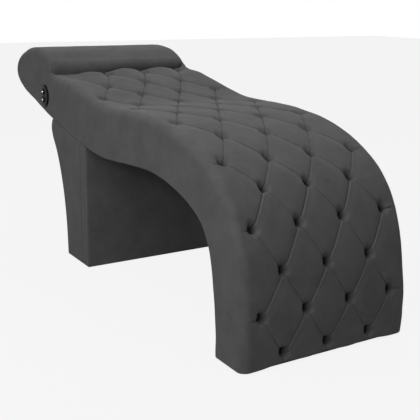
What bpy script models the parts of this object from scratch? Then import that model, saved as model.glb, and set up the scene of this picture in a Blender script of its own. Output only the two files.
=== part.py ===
"""Curved treatment bed for lash work: a wave-shaped tufted couch on its own foot and a pedestal.

Metres, +Z up. X runs across the bed, +Y points to the head end, and the origin lies on the
floor under the middle of the bed. The bed is drawn in its side view: the lying line runs from
the floor up the foot's face and along the top, the under line runs from the floor up the back
of the foot and under the bed, and every layer is a strip at its own depth from one of the two.
"""
import math

import bmesh
import bpy
import numpy as np
from mathutils import Matrix, Vector

# The bed as a whole
BED_LENGTH = 1.800
BED_WIDTH = 0.600
BED_HEIGHT = 0.800
GLIDE_STAND = 0.003
GAP = 0.0003
OVERRUN = 0.010
WELD = 0.00001
NEAREST = 0.002

# Side view, as shares of the bed's length from the foot's face and of its height above the glides
lying_line_shares = [
    (0.0000, 0.0000), (0.0006, 0.2183), (0.0178, 0.4304), (0.0450, 0.5596), (0.0778, 0.6412),
    (0.1267, 0.7102), (0.1772, 0.7553), (0.2289, 0.7842), (0.3022, 0.8030), (0.4022, 0.8080),
    (0.4894, 0.8093), (0.5606, 0.8356), (0.6361, 0.8695), (0.7267, 0.9072), (0.7622, 0.9222),
    (0.8333, 0.9373), (0.9000, 0.9385), (0.9694, 0.9322), (1.0000, 0.9272),
]
under_line_shares = [
    (0.0772, 0.0000), (0.0833, 0.1217), (0.0911, 0.2522), (0.1056, 0.3902), (0.1306, 0.4755),
    (0.1722, 0.5282), (0.2289, 0.5671), (0.3022, 0.5897), (0.3767, 0.5847), (0.4444, 0.5734),
    (0.5056, 0.5671), (0.5783, 0.5809), (0.6733, 0.6186), (0.7711, 0.6625), (0.8767, 0.7277),
    (0.9500, 0.7767), (0.9700, 0.7992), (0.9928, 0.8432),
]
headrest_shares = [
    (0.7644, 0.8745), (0.7667, 0.9222), (0.7778, 0.9598), (0.8000, 0.9849), (0.8333, 0.9987),
    (0.8667, 1.0000), (0.9028, 0.9950), (0.9444, 0.9737), (0.9756, 0.9461), (0.9944, 0.9134),
    (1.0000, 0.8795), (0.9922, 0.8407), (0.9722, 0.8030), (0.9389, 0.7992), (0.8333, 0.8243),
    (0.7778, 0.8394),
]
pedestal_back_shares = [
    (0.7022, 0.0000), (0.7072, 0.1694), (0.7194, 0.3187), (0.7333, 0.4153), (0.7533, 0.5107),
    (0.7739, 0.5797), (0.7789, 0.6136), (0.7744, 0.6487), (0.7667, 0.6801),
]
PEDESTAL_FRONT_SHARE = 0.5889
FRAME_END_SHARE = 0.9694
SPAN_STEPS = 8

# Tufting: pits per wide row, and each row's share of the way from the floor to the crease
WIDE_ROW_PITS = 4
TUFT_MARGIN = 0.062
tuft_row_shares = [
    0.0190, 0.0885, 0.1585, 0.2290, 0.2985, 0.3690, 0.4450,
    0.5215, 0.5960, 0.6685, 0.7405, 0.8100, 0.8820, 0.9620,
]
CREASE_SHARE = 0.7560
STEPS_PER_ROW = 4
FOLD_DEPTH = 0.007
FOLD_REACH = 0.016
PIT_DEPTH = 0.018
PIT_REACH = 0.013
PLEAT_DEPTH = 0.004
EDGE_ROUND = 0.028
CREASE_ROUND = 0.024
edge_turn_shares = (0.45, 0.80)

# Upholstery layers and the headrest
PAD_THICKNESS = 0.045
SIDE_PAD = 0.014
UNDER_COVER = 0.003
DUST_COVER = 0.0015
HEADREST_POINTS = 30
HEADREST_ROUND = 0.024
HEADREST_CROWN = 0.003
headrest_station_shares = (0.0, 0.10, 0.35, 0.65, 1.0)

# Frame
DECK = 0.004
RIB = 0.018
BATTEN = 0.018
BATTEN_WIDTH = 0.040
top_batten_shares = (0.16, 0.40, 0.57, 0.73, 0.89)
bottom_batten_shares = (0.16, 0.40)
BOLT_RAIL = 0.030
BOLT_RAIL_WIDTH = 0.060
bolt_rail_place_shares = (0.628, 0.720)
UNDER_STATIONS = 44
HEAD_STATIONS = 8

# Pedestal
PEDESTAL_COVER = 0.008
FRONT_PANEL = 0.015
BACK_PANEL = 0.006
SIDE_PANEL = 0.018
TOP_BOARD = 0.018
BASE_RAIL_WIDTH = 0.050
BASE_RAIL = 0.018
CORNER_BLOCK = 0.030

# Fasteners and glides
BOLT_RADIUS = 0.004
BOLT_HEAD_RADIUS = 0.0075
BOLT_HEAD = 0.0053
BOLT_FLANGE_RADIUS = 0.0095
BOLT_FLANGE = 0.0018
BOLT_DEPTH = 0.024
BOLT_X = 0.150
HOLE_ROOM = 0.0005
GLIDE_RADIUS = 0.0180
GLIDE_PIN_RADIUS = 0.002
GLIDE_PIN = 0.012
GLIDE_INSET = 0.060
ROUND_SIDES = 12
HEX_SIDES = 6

# Massage control in the left side, near the head
CONTROL_ALONG_SHARE = 0.8067
CONTROL_UP_SHARE = 0.7679
PLATE_LENGTH = 0.076
PLATE_HEIGHT = 0.086
PLATE = 0.005
PLATE_BEVEL = 0.0012
HOUSING_LENGTH = 0.048
HOUSING_HEIGHT = 0.068
HOUSING_BEHIND_RIB = 0.018
BUTTON_SPACING = 0.0315
BUTTON_RADIUS = 0.0125
BUTTON_TRAVEL = 0.002
BUTTON_LEFT_PROUD = 0.0008
BUTTON_CROWN = 0.0015
button_crown_shares = ((1, 0), (0.85, 0.6), (0, 1))
BUTTON_BEHIND = 0.009
BUTTON_ROOM = 0.0004
SPRING_RADIUS = 0.0070
SPRING_WIRE_RADIUS = 0.0006
SPRING_TURNS = 4
SPRING_STEPS = 10
SPRING_LENGTH = 0.012
CONTROL_SIDES = 24

# Massage drive: driver box, two motors, power inlet and their leads
DRIVER_LENGTH = 0.100
DRIVER_HEIGHT = 0.056
DRIVER_DEPTH = 0.030
DRIVER_ALONG_SHARE = 0.7110
DRIVER_UP_SHARE = 0.7380
MOTOR_RADIUS = 0.032
MOTOR_CASE_RADIUS = 0.0256
MOTOR_HEIGHT = 0.026
MOTOR_FLANGE = 0.005
MOTOR_X = 0.120
MOTOR_SEAT = 0.0006
BACK_MOTOR_SHARE = 0.650
HIP_MOTOR_SHARE = 0.485
MOTOR_SIDES = 20
INLET_INSET = 0.065
INLET_ALONG_SHARE = 0.9050
INLET_RADIUS = 0.0070
INLET_LENGTH = 0.022
INLET_FLANGE_RADIUS = 0.0100
INLET_FLANGE = 0.0012
INLET_BORE_RADIUS = 0.0045
INLET_BORE = 0.012
LEAD_RADIUS = 0.0022
LEAD_STANDOFF = 0.011
LEAD_DEPTH = 0.090
LEAD_STRAIGHT = 0.020
LEAD_PITCH = 0.018
LEAD_CLIP_SPACING = 0.050
LEAD_ROUND_STEPS = 2
SPRING_ROUND_STEPS = 1
LEAD_STEPS = 3

ALONG = 0
UP = 1
SIDE_TURN = (math.radians(90), 0, math.radians(90))
HALF_WIDTH = BED_WIDTH / 2
FOOT_Y = -BED_LENGTH / 2
INNER_HALF = HALF_WIDTH - SIDE_PAD - GAP

# Depths of the layers below the lying line and above the under line
DECK_TOP = PAD_THICKNESS + GAP
DECK_BOTTOM = DECK_TOP + DECK
RIB_TOP = DECK_BOTTOM + GAP
UNDER_DECK_NEAR = UNDER_COVER + GAP
UNDER_DECK_FAR = UNDER_DECK_NEAR + DECK
RIB_UNDER = UNDER_DECK_FAR + GAP
BASE_Z = GLIDE_STAND + DUST_COVER + GAP

for old in list(bpy.data.objects):
    bpy.data.objects.remove(old, do_unlink=True)
PARTS = bpy.data.collections.new("lash_bed")
CUTTERS = bpy.data.collections.new("lash_bed_cutters")
bpy.context.scene.collection.children.link(PARTS)
bpy.context.scene.collection.children.link(CUTTERS)


def finish_named(name, color, roughness, metallic=0):
    material = bpy.data.materials.new(name)
    material.use_nodes = True
    shader = material.node_tree.nodes["Principled BSDF"]
    shader.inputs["Base Color"].default_value = (*color, 1)
    shader.inputs["Roughness"].default_value = roughness
    shader.inputs["Metallic"].default_value = metallic
    return material


SUEDE = ((0.098, 0.098, 0.100), 0.92)
PLYWOOD = ((0.55, 0.40, 0.24), 0.70)
HARDBOARD = ((0.32, 0.20, 0.12), 0.75)
PINE = ((0.68, 0.52, 0.33), 0.72)
DUST_CLOTH = ((0.020, 0.020, 0.022), 0.95)
BLACK_PLASTIC = ((0.012, 0.012, 0.013), 0.22)
DARK_PLASTIC = ((0.030, 0.030, 0.032), 0.50)
ZINC = ((0.62, 0.63, 0.64), 0.35, 1)
SPRING_STEEL = ((0.55, 0.55, 0.56), 0.30, 1)
LEAD_BLACK = ((0.015, 0.015, 0.016), 0.55)


# Lines of the side view

def placed(shares):
    """Side-view points (y, z) from shares of the length and of the height above the glides."""
    rise = BED_HEIGHT - GLIDE_STAND
    return np.array([(FOOT_Y + BED_LENGTH * y, GLIDE_STAND + rise * z) for y, z in shares])


def smoothed(knots, steps, closed=False):
    """A smooth curve through the knots, each span cut into equal steps."""
    knots = np.array(knots)
    if closed:
        knots = np.vstack((knots[-1:], knots, knots[:2]))
    spans = np.linalg.norm(np.diff(knots, axis=0), axis=1)
    slopes = np.diff(knots, axis=0) / spans[:, None]
    inner = slopes[:-1] * spans[1:, None] + slopes[1:] * spans[:-1, None]
    inner = inner / (spans[1:] + spans[:-1])[:, None]
    tangents = np.vstack((slopes[:1], inner, slopes[-1:]))
    first, last = (1, len(spans) - 1) if closed else (0, len(spans))
    points = []
    for k in range(first, last):
        for t in np.arange(steps) / steps:
            points.append(
                (2 * t**3 - 3 * t**2 + 1) * knots[k]
                + (t**3 - 2 * t**2 + t) * spans[k] * tangents[k]
                + (3 * t**2 - 2 * t**3) * knots[k + 1]
                + (t**3 - t**2) * spans[k] * tangents[k + 1]
            )
    if not closed:
        points.append(knots[-1])
    return np.array(points)


def along(points):
    return np.concatenate(([0], np.cumsum(np.hypot(*np.diff(points, axis=0).T))))


def sampled(points, distances):
    travelled = along(points)
    return np.stack([np.interp(distances, travelled, points[:, k]) for k in (ALONG, UP)], axis=1)


class Line:
    """A line of the side view whose layers keep an even depth from it, into the bed."""

    def __init__(self, points, inward):
        self.points = np.array(points)
        self.along = along(self.points)
        runs = np.diff(self.points, axis=0)
        walls = inward * np.stack((-runs[:, UP], runs[:, ALONG]), axis=1)
        walls = walls / np.hypot(*runs.T)[:, None]
        both = np.vstack((walls[:1], walls)) + np.vstack((walls, walls[-1:]))
        self.lean = both * (2 / (both**2).sum(axis=1))[:, None]

    def layer(self, depth):
        return self.points + self.lean * depth

    def spot(self, distance, depth):
        k = int(np.clip(np.searchsorted(self.along, distance) - 1, 0, len(self.along) - 2))
        t = (distance - self.along[k]) / (self.along[k + 1] - self.along[k])
        layer = self.layer(depth)
        return layer[k] * (1 - t) + layer[k + 1] * t

    def row(self, depth, start, end):
        """The layer's points from one distance along the line to another."""
        layer = self.layer(depth)
        kept = [p for p, d in zip(layer, self.along) if start + NEAREST < d < end - NEAREST]
        return [self.spot(start, depth), *kept, self.spot(end, depth)]

    def reach(self, depth, axis, value):
        """How far along the line its layer first comes to this height or place."""
        layer = self.layer(depth)[:, axis]
        k = max(1, int(np.argmax(layer >= value)))
        t = (value - layer[k - 1]) / (layer[k] - layer[k - 1])
        return self.along[k - 1] * (1 - t) + self.along[k] * t

    def outward(self, distance):
        """The unit direction that leaves the bed at a distance along the line."""
        way = self.spot(distance, 0) - self.spot(distance, 1)
        return way / np.hypot(*way)


lying_curve = smoothed(placed(lying_line_shares), SPAN_STEPS)
CREASE_Y = FOOT_Y + BED_LENGTH * CREASE_SHARE
PAD_LENGTH = float(np.interp(CREASE_Y, lying_curve[:, ALONG], along(lying_curve)))
TUFT_ROWS = [PAD_LENGTH * share for share in tuft_row_shares]


def pad_distances():
    """Where the tufted pad has its cross rows: even steps between tuft rows, closer at the crease."""
    rows = [0]
    for low, high in zip(TUFT_ROWS, TUFT_ROWS[1:]):
        rows += [low + (high - low) * k / STEPS_PER_ROW for k in range(STEPS_PER_ROW)]
    half_round = CREASE_ROUND / 2
    return rows + [TUFT_ROWS[-1], PAD_LENGTH - CREASE_ROUND, PAD_LENGTH - half_round, PAD_LENGTH]


PAD_ROWS = pad_distances()
beyond = np.linspace(PAD_LENGTH, along(lying_curve)[-1], HEAD_STATIONS)[1:]
LYING = Line(sampled(lying_curve, np.concatenate((PAD_ROWS, beyond))), -1)
under_curve = smoothed(placed(under_line_shares), SPAN_STEPS)
UNDER = Line(sampled(under_curve, np.linspace(0, along(under_curve)[-1], UNDER_STATIONS)), 1)
BACK = Line(smoothed(placed(pedestal_back_shares), SPAN_STEPS // 2), 1)
FRAME_END = FOOT_Y + BED_LENGTH * FRAME_END_SHARE
PEDESTAL_FRONT = FOOT_Y + BED_LENGTH * PEDESTAL_FRONT_SHARE


def strip(line, near, far, start, end):
    """The outline between two depths of a line; start and end give the distance at a depth."""
    return line.row(near, start(near), end(near)) + line.row(far, start(far), end(far))[::-1]


def at_height(line, height):
    return lambda depth: line.reach(depth, UP, height)


def at_place(line, place):
    return lambda depth: line.reach(depth, ALONG, place)


def at_distance(distance):
    return lambda depth: distance


def slab(top, bottom, low, end):
    """The outline of a board between a layer of the lying line and one of the under line."""
    upper = LYING.row(top, LYING.reach(top, UP, low), LYING.reach(top, ALONG, end))
    lower = UNDER.row(bottom, UNDER.reach(bottom, UP, low), UNDER.reach(bottom, ALONG, end))
    return upper + lower[::-1]


# Making and placing solids

def add(name, mesh, finish, location=(0, 0, 0), rotation=(0, 0, 0), collection=PARTS):
    thing = bpy.data.objects.new(name, mesh)
    thing.location = location
    thing.rotation_euler = rotation
    collection.objects.link(thing)
    if finish:
        mesh.materials.append(finish_named(name, *finish))
    if collection is CUTTERS:
        thing.hide_render = True
        thing.display_type = "WIRE"
    return thing


def mesh_from(bm, name):
    bmesh.ops.recalc_face_normals(bm, faces=bm.faces)
    mesh = bpy.data.meshes.new(name)
    bm.to_mesh(mesh)
    bm.free()
    mesh.shade_smooth()
    mesh.set_sharp_from_angle(angle=math.radians(35))
    return mesh


def evaluated_mesh(thing):
    """A welded mesh of the object as its modifiers or its curve make it; the object goes."""
    bpy.context.view_layer.update()
    shaped = thing.evaluated_get(bpy.context.evaluated_depsgraph_get())
    mesh = bpy.data.meshes.new_from_object(shaped)
    bpy.data.objects.remove(thing, do_unlink=True)
    bm = bmesh.new()
    bm.from_mesh(mesh)
    bmesh.ops.remove_doubles(bm, verts=bm.verts, dist=WELD)
    return bm


def sheet_mesh(name, outline, thickness):
    """A flat outline given thickness: a filled 2D curve, made a mesh."""
    curve = bpy.data.curves.new(name, "CURVE")
    curve.dimensions = "2D"
    curve.fill_mode = "BOTH"
    curve.extrude = thickness / 2
    spline = curve.splines.new("POLY")
    spline.points.add(len(outline) - 1)
    for point, place in zip(spline.points, outline):
        point.co = (place[0], place[1], 0, 1)
    spline.use_cyclic_u = True
    guide = bpy.data.objects.new(name, curve)
    PARTS.objects.link(guide)
    return mesh_from(evaluated_mesh(guide), name)


def board(name, outline, left, right, finish, collection=PARTS):
    """A side-view outline run across the bed from left to right."""
    mesh = sheet_mesh(name, outline, right - left)
    return add(name, mesh, finish, ((left + right) / 2, 0, 0), SIDE_TURN, collection)


def turned_bmesh(profile, sides):
    """A solid turned about Z from (radius, height) points that run from the axis to the axis."""
    mesh = bpy.data.meshes.new("profile")
    bm = bmesh.new()
    verts = [bm.verts.new((radius, 0, height)) for radius, height in profile]
    for low, high in zip(verts, verts[1:]):
        bm.edges.new((low, high))
    bm.to_mesh(mesh)
    bm.free()
    guide = bpy.data.objects.new("profile", mesh)
    PARTS.objects.link(guide)
    screw = guide.modifiers.new("Turn", "SCREW")
    screw.steps = sides
    screw.render_steps = sides
    screw.use_merge_vertices = True
    screw.merge_threshold = WELD
    solid = evaluated_mesh(guide)
    bmesh.ops.recalc_face_normals(solid, faces=solid.faces)
    return solid


def turned(name, profile, sides, place, finish=None, collection=PARTS):
    """A turned solid set at a matrix."""
    thing = add(name, mesh_from(turned_bmesh(profile, sides), name), finish, collection=collection)
    thing.matrix_world = place
    return thing


def cut(target, cutter):
    boolean = target.modifiers.new("Cut " + cutter.name, "BOOLEAN")
    boolean.operation = "DIFFERENCE"
    boolean.solver = "EXACT"
    boolean.object = cutter


def drum(radius, low, high):
    """The profile of a plain cylinder between two heights."""
    return [(0, low), (radius, low), (radius, high), (0, high)]


def frame_at(x, side_point, direction):
    """A matrix whose Z axis points along a side-view direction, with its origin at x and the point."""
    up = Vector((0, direction[ALONG], direction[UP])).normalized()
    across = Vector((1, 0, 0))
    matrix = Matrix((across, up.cross(across), up)).transposed().to_4x4()
    matrix.translation = Vector((x, side_point[ALONG], side_point[UP]))
    return matrix


def box_outline(low_y, low_z, high_y, high_z):
    return [(low_y, low_z), (high_y, low_z), (high_y, high_z), (low_y, high_z)]


def ellipse(length, height, sides):
    turns = [2 * math.pi * k / sides for k in range(sides)]
    return [(length / 2 * math.cos(t), height / 2 * math.sin(t)) for t in turns]


# Tufted pad

HALF_PITCH = (HALF_WIDTH - TUFT_MARGIN) / (WIDE_ROW_PITS - 1)


def pit_columns(row):
    """The pits of a row, in half pitches from the bed's middle: odd rows are the wide ones."""
    widest = WIDE_ROW_PITS - 1 if row % 2 else WIDE_ROW_PITS - 2
    return range(-widest, widest + 1, 2)


def tuft_pits():
    return [(column, row) for row in range(len(TUFT_ROWS)) for column in pit_columns(row)]


def folds():
    """Fold segments between neighbouring pits, and pleats that run out to the edges."""
    first_gap = TUFT_ROWS[1] - TUFT_ROWS[0]
    heights = dict(enumerate(TUFT_ROWS))
    heights[-1] = TUFT_ROWS[0] - first_gap
    segments = []
    for row in range(-1, len(TUFT_ROWS) - 1):
        for column in pit_columns(row):
            for side in (-1, 1):
                if column + side in pit_columns(row + 1):
                    low = (column * HALF_PITCH, heights[row])
                    high = ((column + side) * HALF_PITCH, heights[row + 1])
                    segments.append((low, high, FOLD_DEPTH))
    widest = (WIDE_ROW_PITS - 1) * HALF_PITCH
    for row, height in enumerate(TUFT_ROWS):
        if row % 2:
            for side in (-1, 1):
                segments.append(((side * widest, height), (side * HALF_WIDTH, height), PLEAT_DEPTH))
    for column in pit_columns(len(TUFT_ROWS) - 1):
        place = column * HALF_PITCH
        segments.append(((place, TUFT_ROWS[-1]), (place, PAD_LENGTH), FOLD_DEPTH))
    return segments


def from_segment(x, s, low, high):
    run = np.subtract(high, low)
    share = np.clip(np.dot(np.subtract((x, s), low), run) / np.dot(run, run), 0, 1)
    return math.dist((x, s), np.add(low, run * share))


def rounded_drop(beyond_start, radius):
    """How far a rounded edge has dropped, a distance past the start of its rounding."""
    reach = min(max(beyond_start, 0), radius)
    return radius - math.sqrt(radius**2 - reach**2)


FOLDS = folds()


def pad_depth(x, s):
    """The depth of the pad's face below its crown."""
    fold = max(
        depth * math.exp(-((from_segment(x, s, low, high) / FOLD_REACH) ** 2))
        for low, high, depth in FOLDS
    )
    pits = [math.dist((x, s), (c * HALF_PITCH, TUFT_ROWS[r])) for c, r in tuft_pits()]
    pit = PIT_DEPTH * math.exp(-((min(pits) / PIT_REACH) ** 2))
    edge = rounded_drop(abs(x) - (HALF_WIDTH - EDGE_ROUND), EDGE_ROUND)
    crease = rounded_drop(s - (PAD_LENGTH - CREASE_ROUND), CREASE_ROUND)
    return min(fold + pit + max(edge, crease), PAD_THICKNESS - EDGE_ROUND / 4)


def pad_columns():
    quarter = HALF_PITCH / 2
    count = 2 * (WIDE_ROW_PITS - 1)
    inner = [quarter * k for k in range(-count, count + 1)]
    start = HALF_WIDTH - EDGE_ROUND
    turns = [start] + [start + EDGE_ROUND * share for share in edge_turn_shares] + [HALF_WIDTH]
    return [-x for x in turns[::-1]] + inner + turns


def make_tufted_pad():
    columns = pad_columns()
    across, lengthwise = len(columns) - 1, len(PAD_ROWS) - 1
    bm = bmesh.new()
    bmesh.ops.create_grid(bm, x_segments=across, y_segments=lengthwise, size=1)
    lower = set(bm.verts)
    grown = bmesh.ops.extrude_face_region(bm, geom=bm.faces[:])["geom"]
    upper = {item for item in grown if isinstance(item, bmesh.types.BMVert)}
    cell = {v: (round((v.co.x + 1) / 2 * across), round((v.co.y + 1) / 2 * lengthwise)) for v in bm.verts}
    under_seams = [
        e for e in bm.edges
        if not upper.intersection(e.verts) and cell[e.verts[0]][0] == cell[e.verts[1]][0]
        and 0 < cell[e.verts[0]][0] < across
    ]
    for vert in lower | upper:
        column, row = cell[vert]
        x, s = columns[column], PAD_ROWS[row]
        depth = pad_depth(x, s) if vert in upper else PAD_THICKNESS
        y, z = LYING.layer(depth)[row]
        vert.co = (x, y, GLIDE_STAND if row == 0 else z)
    bmesh.ops.dissolve_edges(bm, edges=under_seams, use_verts=True)
    add("tufted_pad", mesh_from(bm, "tufted_pad"), SUEDE)


# Headrest

def headrest_stations():
    """Places across the bed and how far the section has drawn in there."""
    half = []
    for share in headrest_station_shares:
        reach = HEADREST_ROUND * share
        half.append((HALF_WIDTH - reach, rounded_drop(HEADREST_ROUND - reach, HEADREST_ROUND)))
    inner = HALF_WIDTH - HEADREST_ROUND
    crown = [(inner * k / 2, -HEADREST_CROWN * (1 - k * k / 4)) for k in (1, 0)]
    right = half + crown
    return right + [(-x, inset) for x, inset in right[-2::-1]]


def make_headrest():
    """A foam roll with drawn-in ends, cut below to sit on the deck and round the frame's end."""
    loop = smoothed(placed(headrest_shares), SPAN_STEPS, closed=True)
    loop = np.vstack((loop, loop[:1]))
    loop = sampled(loop, np.linspace(0, along(loop)[-1], HEADREST_POINTS + 1))
    section = Line(loop, -1)
    stations = headrest_stations()
    bm = bmesh.new()
    bmesh.ops.create_grid(bm, x_segments=HEADREST_POINTS, y_segments=len(stations) - 1, size=1)
    for vert in bm.verts:
        point = round((vert.co.x + 1) / 2 * HEADREST_POINTS) % HEADREST_POINTS
        x, inset = stations[round((vert.co.y + 1) / 2 * (len(stations) - 1))]
        y, z = section.layer(inset + HEADREST_CROWN)[point]
        vert.co = (x, y, z)
    bmesh.ops.remove_doubles(bm, verts=bm.verts, dist=WELD)
    bmesh.ops.holes_fill(bm, edges=[e for e in bm.edges if e.is_boundary])
    headrest = add("headrest_roll", mesh_from(bm, "headrest_roll"), SUEDE)
    start = PAD_LENGTH + GAP
    seat = LYING.row(PAD_THICKNESS, start, LYING.reach(PAD_THICKNESS, ALONG, FRAME_END + GAP))
    front, floor = seat[0][ALONG] - PAD_LENGTH / 4, seat[0][UP] - PAD_THICKNESS * 4
    top = LYING.spot(start, -PAD_THICKNESS)
    outline = [top, *seat, (FRAME_END + GAP, floor), (front, floor), (front, top[UP])]
    edge = HALF_WIDTH + OVERRUN
    cutter = board("headrest_seat", outline, -edge, edge, None, collection=CUTTERS)
    cut(headrest, cutter)


# Covers and frame of the bed

def make_side_pads():
    outline = slab(DECK_TOP, UNDER_DECK_NEAR, GLIDE_STAND, FRAME_END)
    inner = HALF_WIDTH - SIDE_PAD
    left = board("side_pad_left", outline, -HALF_WIDTH, -inner, SUEDE)
    board("side_pad_right", outline, inner, HALF_WIDTH, SUEDE)
    return left


def make_decks():
    end = at_place(LYING, FRAME_END)
    outline = strip(LYING, DECK_TOP, DECK_BOTTOM, at_height(LYING, BASE_Z), end)
    board("top_deck", outline, -INNER_HALF, INNER_HALF, HARDBOARD)
    end = at_place(UNDER, FRAME_END)
    outline = strip(UNDER, UNDER_DECK_NEAR, UNDER_DECK_FAR, at_height(UNDER, BASE_Z), end)
    under_deck = board("under_deck", outline, -INNER_HALF, INNER_HALF, HARDBOARD)
    outline = strip(UNDER, 0, UNDER_COVER, at_height(UNDER, GLIDE_STAND), end)
    under_cover = board("under_cover", outline, -HALF_WIDTH, HALF_WIDTH, SUEDE)
    return under_deck, under_cover


def make_ribs():
    low = BASE_Z + BASE_RAIL + GAP
    high = FRAME_END - RIB - GAP
    outline = slab(RIB_TOP, RIB_UNDER, low, high)
    left = board("rib_left", outline, -INNER_HALF, RIB - INNER_HALF, PLYWOOD)
    centre = board("rib_centre", outline, -RIB / 2, RIB / 2, PLYWOOD)
    board("rib_right", outline, INNER_HALF - RIB, INNER_HALF, PLYWOOD)
    return left, centre


def cross_rail(name, line, distance, near, thickness, width):
    """A rail from outer rib to outer rib, let into a notch in the centre rib."""
    inner = INNER_HALF - RIB - GAP
    ends = at_distance(distance - width / 2), at_distance(distance + width / 2)
    rail = board(name, strip(line, near, near + thickness, *ends), -inner, inner, PINE)
    ends = at_distance(distance - width / 2 - GAP), at_distance(distance + width / 2 + GAP)
    notch = strip(line, near - OVERRUN, near + thickness + GAP, *ends)
    cut(rib_centre, board(name + "_notch", notch, -RIB, RIB, None, CUTTERS))
    return rail


def make_battens():
    for count, share in enumerate(top_batten_shares, 1):
        distance = LYING.along[-1] * share
        cross_rail(f"top_batten_{count}", LYING, distance, RIB_TOP, BATTEN, BATTEN_WIDTH)
    for count, share in enumerate(bottom_batten_shares, 1):
        distance = UNDER.along[-1] * share
        cross_rail(f"bottom_batten_{count}", UNDER, distance, RIB_UNDER, BATTEN, BATTEN_WIDTH)


def make_bolt_rails():
    """The rails that take the pedestal's bolts, each with its distance along the under line."""
    rails = []
    for count, share in enumerate(bolt_rail_place_shares, 1):
        distance = UNDER.reach(0, ALONG, FOOT_Y + BED_LENGTH * share)
        rail = cross_rail(f"bolt_rail_{count}", UNDER, distance, RIB_UNDER, BOLT_RAIL, BOLT_RAIL_WIDTH)
        rails.append((rail, distance))
    return rails


def make_end_rails():
    """The rail behind the bed's head end, and the board and dust cover under its foot."""
    ends = [LYING.reach(RIB_TOP, ALONG, place) for place in (FRAME_END - RIB, FRAME_END)]
    upper = LYING.row(RIB_TOP, *ends)
    ends = [UNDER.reach(RIB_UNDER, ALONG, place) for place in (FRAME_END - RIB, FRAME_END)]
    lower = UNDER.row(RIB_UNDER, *ends)
    board("head_rail", upper + lower[::-1], -INNER_HALF, INNER_HALF, PLYWOOD)
    heights = BASE_Z, BASE_Z + BASE_RAIL
    front = LYING.row(RIB_TOP, *[LYING.reach(RIB_TOP, UP, height) for height in heights])
    back = UNDER.row(RIB_UNDER, *[UNDER.reach(RIB_UNDER, UP, height) for height in heights])
    base = board("foot_base_board", front + back[::-1], -INNER_HALF, INNER_HALF, PLYWOOD)
    front = LYING.spot(LYING.reach(DECK_TOP, UP, GLIDE_STAND), DECK_TOP)[ALONG]
    back = UNDER.spot(UNDER.reach(UNDER_DECK_NEAR, UP, GLIDE_STAND), UNDER_DECK_NEAR)[ALONG]
    outline = box_outline(front, GLIDE_STAND, back, GLIDE_STAND + DUST_COVER)
    cloth = board("foot_dust_cover", outline, -INNER_HALF, INNER_HALF, DUST_CLOTH)
    return base, cloth, (front + back) / 2


# Pedestal

def under_roof(depth):
    """How far up the pedestal's back line its layer meets the bed's underside."""
    layer = BACK.layer(depth)
    roof = UNDER.layer(-GAP)
    above = layer[:, UP] - np.interp(layer[:, ALONG], roof[:, ALONG], roof[:, UP])
    k = int(np.argmax(above > 0))
    t = above[k - 1] / (above[k - 1] - above[k])
    return BACK.along[k - 1] * (1 - t) + BACK.along[k] * t


def pedestal_outline(front, depth, low):
    """A side-view outline between a place behind the front, a layer of the back and the bed."""
    back = BACK.row(depth, BACK.reach(depth, UP, low), under_roof(depth))
    roof = UNDER.row(-GAP, UNDER.reach(-GAP, ALONG, front), UNDER.reach(-GAP, ALONG, back[-1][ALONG]))
    return [(front, low), *back, *roof[:-1][::-1]]


def upright(front, thickness, low, roof_depth):
    """A slice of the pedestal between two places, from a height up to a layer under the bed."""
    ends = UNDER.reach(roof_depth, ALONG, front), UNDER.reach(roof_depth, ALONG, front + thickness)
    return [(front, low), (front + thickness, low), *UNDER.row(roof_depth, *ends)[::-1]]


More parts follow.
